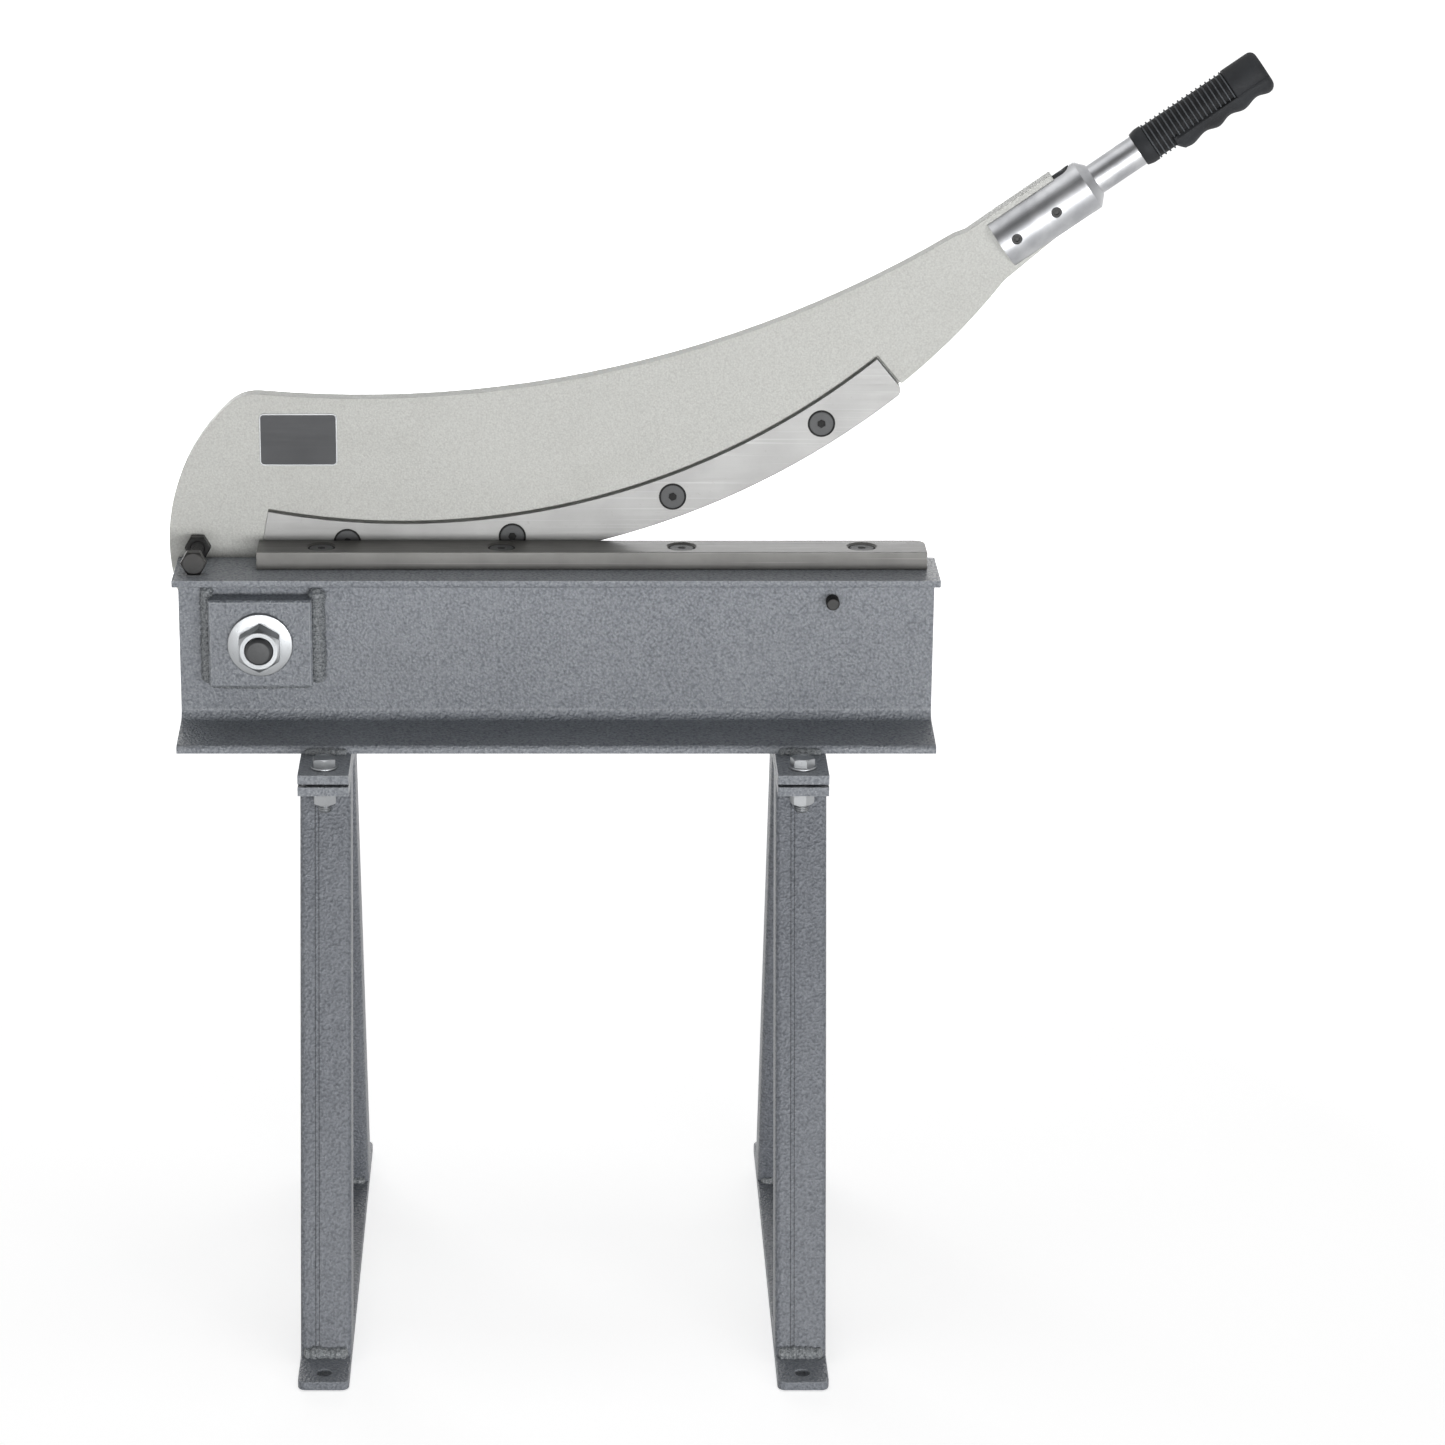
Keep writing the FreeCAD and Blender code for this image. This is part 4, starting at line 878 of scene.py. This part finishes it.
def handlePieces():
    drills = []
    for s in handle["setAt"]:
        drill = loftMesh([ringAt(height, handle["setHole"], 40)
                          for height in (handle["drillFrom"], handle["drillTo"])])
        drill.transform(facing(alongHandle(s), toFront))
        drills.append(drill)
    holes = looseObject("setScrewHoles", joined(drills))
    keyPlaces = [alongHandle(s, handle["socket"]) for s in handle["setAt"]]
    socket = softened("handle_socket", handle["socketEdge"], avoid=keyPlaces, room=handle["holeRoom"], holes=holes)
    bpy.data.objects.remove(holes)
    roundNormals(socket, handle["socket"])
    finishObject("handle_socket_piece", socket, ["handle_socket"])
    screw = keyedFace(handle["setFace"], handle["setLow"], handle["setHigh"], handle["setKey"],
                      handle["setDeep"], 0.3)
    spots = [(alongHandle(s), toFront, 0.2 + s * 0.05) for s in handle["setAt"]]
    finishObject("set_screws", setOut(screw, spots, materials["black_bolt"]), (), "black_bolt", "arm")
    start, end, radius, ease = handle["rodStart"], handle["rodEnd"], handle["rod"], handle["rodEase"]
    rod = loftMesh(ringsAt((start, radius - ease), (start + ease, radius), (end - ease, radius),
                           (end, radius - ease)))
    finishObject("handle_rod_piece", rod, ["handle_rod"], place=handleFrame)


handlePieces()

grip = dict(collar=((79.2, 12.05), (79.2, 12.7), (79.7, 13.2), (83.6, 14.2), (85.0, 14.35), (89.0, 14.35),
                    (89.3, 14.1), (89.4, 13.0), (104.2, 13.0)), end=186.8, endRound=5.2, stride=1.5, outside=14.35,
            groove=13.0, grooveStart=89.35, ribFirst=90.6, ribPitch=3.95, ribs=18, ribHalf=0.85, ribFoot=12.6,
            palmStart=105.2, palmHalf=14.3, parting=-4.4, partingFall=0.018,
            wave=((105.2, 14.6), (109.0, 18.3), (114.0, 19.0), (127.0, 16.2), (137.4, 19.0), (148.0, 16.2),
                  (159.0, 19.0), (171.0, 16.2), (181.0, 19.0), (187.2, 18.2)))


def waveDepth(s):
    # depth of the finger side: crests and hollows joined by half cosines
    wave = grip["wave"]
    for (s0, d0), (s1, d1) in zip(wave, wave[1:]):
        if s <= s1:
            share = max(0.0, (s - s0) / (s1 - s0))
            return d0 + (d1 - d0) * (1 - math.cos(math.pi * share)) / 2
    return wave[-1][1]


def partingAt(s):
    return grip["parting"] - grip["partingFall"] * (s - grip["palmStart"])


def gripRing(s, radius, palm, inset=0.0, steps=72):
    # the rod side is a circle; below the parting line the palm is wider and waved
    ring = []
    level = partingAt(s)
    for step in range(steps):
        angle = 2 * math.pi * step / steps
        across, up = radius * math.cos(angle), radius * math.sin(angle)
        if palm and step > steps / 2 and up < level:
            low = math.asin(max(-1.0, level / radius))
            share = (angle - (math.pi - low)) / (math.pi + 2 * low)
            turn = math.pi * min(1.0, max(0.0, share))
            across = -(grip["palmHalf"] - inset) * math.cos(turn)
            up = level - (waveDepth(s) + level - inset) * math.sin(turn) ** 0.86
        ring.append(Vector((-up, across, s)) * mm)
    return ring


def strides(start, end):
    # places from start on, until one reaches the end
    places = []
    while start < end:
        start += grip["stride"]
        places.append(start)
    return places


def gripPieces():
    last, endRound, outside, groove = grip["end"], grip["endRound"], grip["outside"], grip["groove"]
    palm, ribsEnd = grip["palmStart"], grip["ribFirst"] + (grip["ribs"] - 1) * grip["ribPitch"] + 1.6
    rings = [gripRing(s, radius, False) for s, radius in grip["collar"]] + [gripRing(palm, groove, True, 0.5)]
    rings += [gripRing(s, groove, True) for s in [palm + 0.5] + strides(palm + 0.5, ribsEnd - 1.5)]
    rings.append(gripRing(ribsEnd, outside - 0.2, True))
    rings += [gripRing(s, outside, True)
              for s in [ribsEnd + 0.3] + strides(ribsEnd + 0.3, last - endRound - 1.3)]
    for step in range(1, 8):
        angle = math.pi / 2 * step / 7
        back = endRound * (1 - math.cos(angle))
        rings.append(gripRing(last - endRound * (1 - math.sin(angle)), outside - back, True, back))
    mesh = loftMesh(rings, sharp=38)
    # the groove faces between the ribs are marked for painted shade
    for face in mesh.polygons:
        s, up = face.center.z / mm, -face.center.x / mm
        inGroove = grip["grooveStart"] < s < ribsEnd + 0.1 and (s < palm or up > partingAt(s) - 0.1)
        mesh.attributes["edge"].data[face.index].value = 1.0 if inGroove else 0.0
    finishObject("handle_grip_piece", mesh, ["handle_grip"], finish="gripBody", place=handleFrame)
    ribSpots = [grip["ribFirst"] + index * grip["ribPitch"] for index in range(grip["ribs"])]
    for name, chosen, upper in (("grip_rings", [s for s in ribSpots if s < palm], False),
                                ("grip_ribs", [s for s in ribSpots if s >= palm], True)):
        spots = [(alongHandle(s), handleAxis, 0.0) for s in chosen]
        made = setOut(ribMesh(upper), spots, materials["grip_rubber"])
        finishObject(name, made, (), "grip_rubber", "arm")


def ribMesh(upper, steps=64):
    # one rib: a thin ridge round the grip, or round its upper part down to the parting line
    half, outside, foot = grip["ribHalf"], grip["outside"], grip["ribFoot"]
    section = [(foot, -half), (outside - 0.2, -half * 0.6), (outside, 0.0), (outside - 0.2, half * 0.6), (foot, half)]
    low = math.asin(grip["parting"] / outside) - 0.04
    start, sweep = (low, math.pi - 2 * low) if upper else (0.0, 2 * math.pi)
    angles = [start + sweep * i / steps for i in range(steps + 1 if upper else steps)]
    shape = bmesh.new()
    edgeLayer = shape.faces.layers.float.new("edge")
    rows = [[shape.verts.new(Vector((-r * math.sin(a), r * math.cos(a), s)) * mm) for r, s in section] for a in angles]
    for row, following in zip(rows, rows[1:] if upper else rows[1:] + rows[:1]):
        for j in range(len(section)):
            k = (j + 1) % len(section)
            face = shape.faces.new((row[j], row[k], following[k], following[j]))
            # the rib tops are marked for a painted highlight
            face[edgeLayer] = 1.0 if j in (1, 2) else 0.0
    if upper:
        shape.faces.new(rows[0])
        shape.faces.new(rows[-1])
    bmesh.ops.recalc_face_normals(shape, faces=shape.faces)
    return meshFrom(shape, 60)


gripPieces()
print("handle and grip ready")


# bare rating plate on the arm

rating = dict(middle=(-197.7, 659.65), half=(29.1, 20.05), face=32.0, thick=0.6, corner=3.5, border=1.0)


def roundedOutline(inset, level):
    (x, z), (halfX, halfZ) = rating["middle"], rating["half"]
    return [Vector((x + across, level, z + up)) * mm
            for across, up in roundedCorners(halfX - inset, halfZ - inset, rating["corner"] - inset)]


def ratingPieces():
    arm, front, border = rating["face"], rating["face"] - rating["thick"], rating["border"]
    frameRings = [(0, arm + 0.3), (0, front + 0.15), (0.15, front), (border, front), (border + 0.1, front + 0.12),
                  (border + 0.1, arm + 0.3)]
    bareRings = [(border, arm + 0.2), (border, front + 0.1)]
    for name, rings, finish in (("rating_plate_border", frameRings, "plateBorder"),
                                ("rating_plate_face", bareRings, "plateBare")):
        mesh = loftMesh([roundedOutline(inset, level) for inset, level in rings], sharp=40)
        finishObject(name, mesh, (), "arm_paint", "arm", finish)


ratingPieces()
print("rating plate ready")

for name, item in frame["nodes"].items():
    item.data.materials.clear()
    item.data.materials.append(materials[slotOf[name]])


# stage, light and camera

studio = dict(world=0.14, backdrop=1.0, floorNear=0.66, floorFar=1.0, nearEnd=0.7, farStart=1.8, floorSize=14,
              floorDrop=-0.0005, paper=(0.86, 0.86, 0.86, 1), black=(0.02, 0.02, 0.02, 1))
lamps = {
    "frontLamp": dict(place=(0.8, -3.5, 0.2), target=(0, 0, 0.5), size=(4.4, 0.8), power=136.0),
    "topLamp": dict(place=(0, 0.1, 2.5), target=(0, 0, 0.5), size=(1.8, 1.2), power=10.0),
    "backLamp": dict(place=(-0.8, 3.6, 0.9), target=(0, 0, 0.54), size=(4.0, 1.2), power=50.0),
}
blackCard = dict(place=(0, -2.6, 3.0), target=(0, 0, 0.6), size=(6.0, 2.6))
photoCamera = dict(sensor=36.0, lens=109.6, shift=0.111, place=(-0.0009, -3.1472, 1.5009), tilt=71.5)


def aimed(item, place, target):
    item.location = place
    item.rotation_euler = (Vector(target) - Vector(place)).to_track_quat("-Z", "Y").to_euler()


def softLamp(name, place, target, size, power):
    lamp = bpy.data.lights.new(name, "AREA")
    lamp.shape = "RECTANGLE"
    lamp.size, lamp.size_y = size
    lamp.energy = power
    item = looseObject(name, lamp)
    aimed(item, place, target)
    item.visible_camera = False


def seenDirectly(tree):
    paths = tree.nodes.new("ShaderNodeLightPath").outputs
    return mathNode(tree, "MAXIMUM", paths["Is Camera Ray"], paths["Is Glossy Ray"]), paths["Is Transmission Ray"]


def whiteWorld():
    # white to the camera and in reflections, dim as a light
    world = bpy.data.worlds.new("studio")
    bpy.context.scene.world = world
    world.use_nodes = True
    tree = world.node_tree
    tree.nodes.clear()
    seen = mathNode(tree, "MAXIMUM", *seenDirectly(tree))
    light = addNode(tree, "ShaderNodeBackground", {
        "Color": (1, 1, 1, 1), "Strength": ramp(tree, seen, 0.0, 1.0, studio["world"], studio["backdrop"])})
    feed(tree, tree.nodes.new("ShaderNodeOutputWorld").inputs["Surface"], light.outputs[0])


def paleFloor():
    # pale paper that keeps the shadow and glows up to white away from the object
    bpy.ops.mesh.primitive_plane_add(size=studio["floorSize"], location=(0, 0, studio["floorDrop"]))
    floor = bpy.context.object
    floor.name = "studioFloor"
    material = bpy.data.materials.new("paleFloor")
    material.use_nodes = True
    tree = material.node_tree
    tree.nodes.clear()
    paper = addNode(tree, "ShaderNodeBsdfDiffuse", {"Color": studio["paper"]})
    ground = tree.nodes.new("ShaderNodeTexCoord").outputs["Object"]
    away = addNode(tree, "ShaderNodeVectorMath", {0: ground}, operation="LENGTH").outputs["Value"]
    level = ramp(tree, away, studio["nearEnd"], studio["farStart"], studio["floorNear"], studio["floorFar"])
    glow = addNode(tree, "ShaderNodeEmission", {
        "Color": (1, 1, 1, 1), "Strength": times(tree, seenDirectly(tree)[0], level)})
    both = addNode(tree, "ShaderNodeAddShader", {0: paper.outputs[0], 1: glow.outputs[0]})
    feed(tree, tree.nodes.new("ShaderNodeOutputMaterial").inputs["Surface"], both.outputs[0])
    floor.data.materials.append(material)


def darkCard(place, target, size):
    # a black card above the camera, seen only in reflections, that gives bright metal its dark bands
    bpy.ops.mesh.primitive_plane_add(size=1)
    card = bpy.context.object
    card.name = "darkCard"
    aimed(card, place, target)
    card.scale = (*size, 1)
    material = bpy.data.materials.new("blackCard")
    material.use_nodes = True
    shader = material.node_tree.nodes["Principled BSDF"]
    shader.inputs["Base Color"].default_value = studio["black"]
    shader.inputs["Roughness"].default_value = 1.0
    card.data.materials.append(material)
    for kind in ("camera", "diffuse", "transmission", "volume_scatter", "shadow"):
        setattr(card, "visible_" + kind, False)


def buildCamera():
    lens = bpy.data.cameras.new("photoCamera")
    lens.sensor_width = photoCamera["sensor"]
    lens.lens = photoCamera["lens"]
    lens.shift_x = photoCamera["shift"]
    camera = looseObject("photoCamera", lens)
    camera.location = photoCamera["place"]
    camera.rotation_euler = (math.radians(photoCamera["tilt"]), 0, 0)
    bpy.context.scene.camera = camera


whiteWorld()
paleFloor()
for name, settings in lamps.items():
    softLamp(name, **settings)
darkCard(**blackCard)
buildCamera()
bpy.context.scene.view_settings.view_transform = "Standard"
print("stage and camera ready")
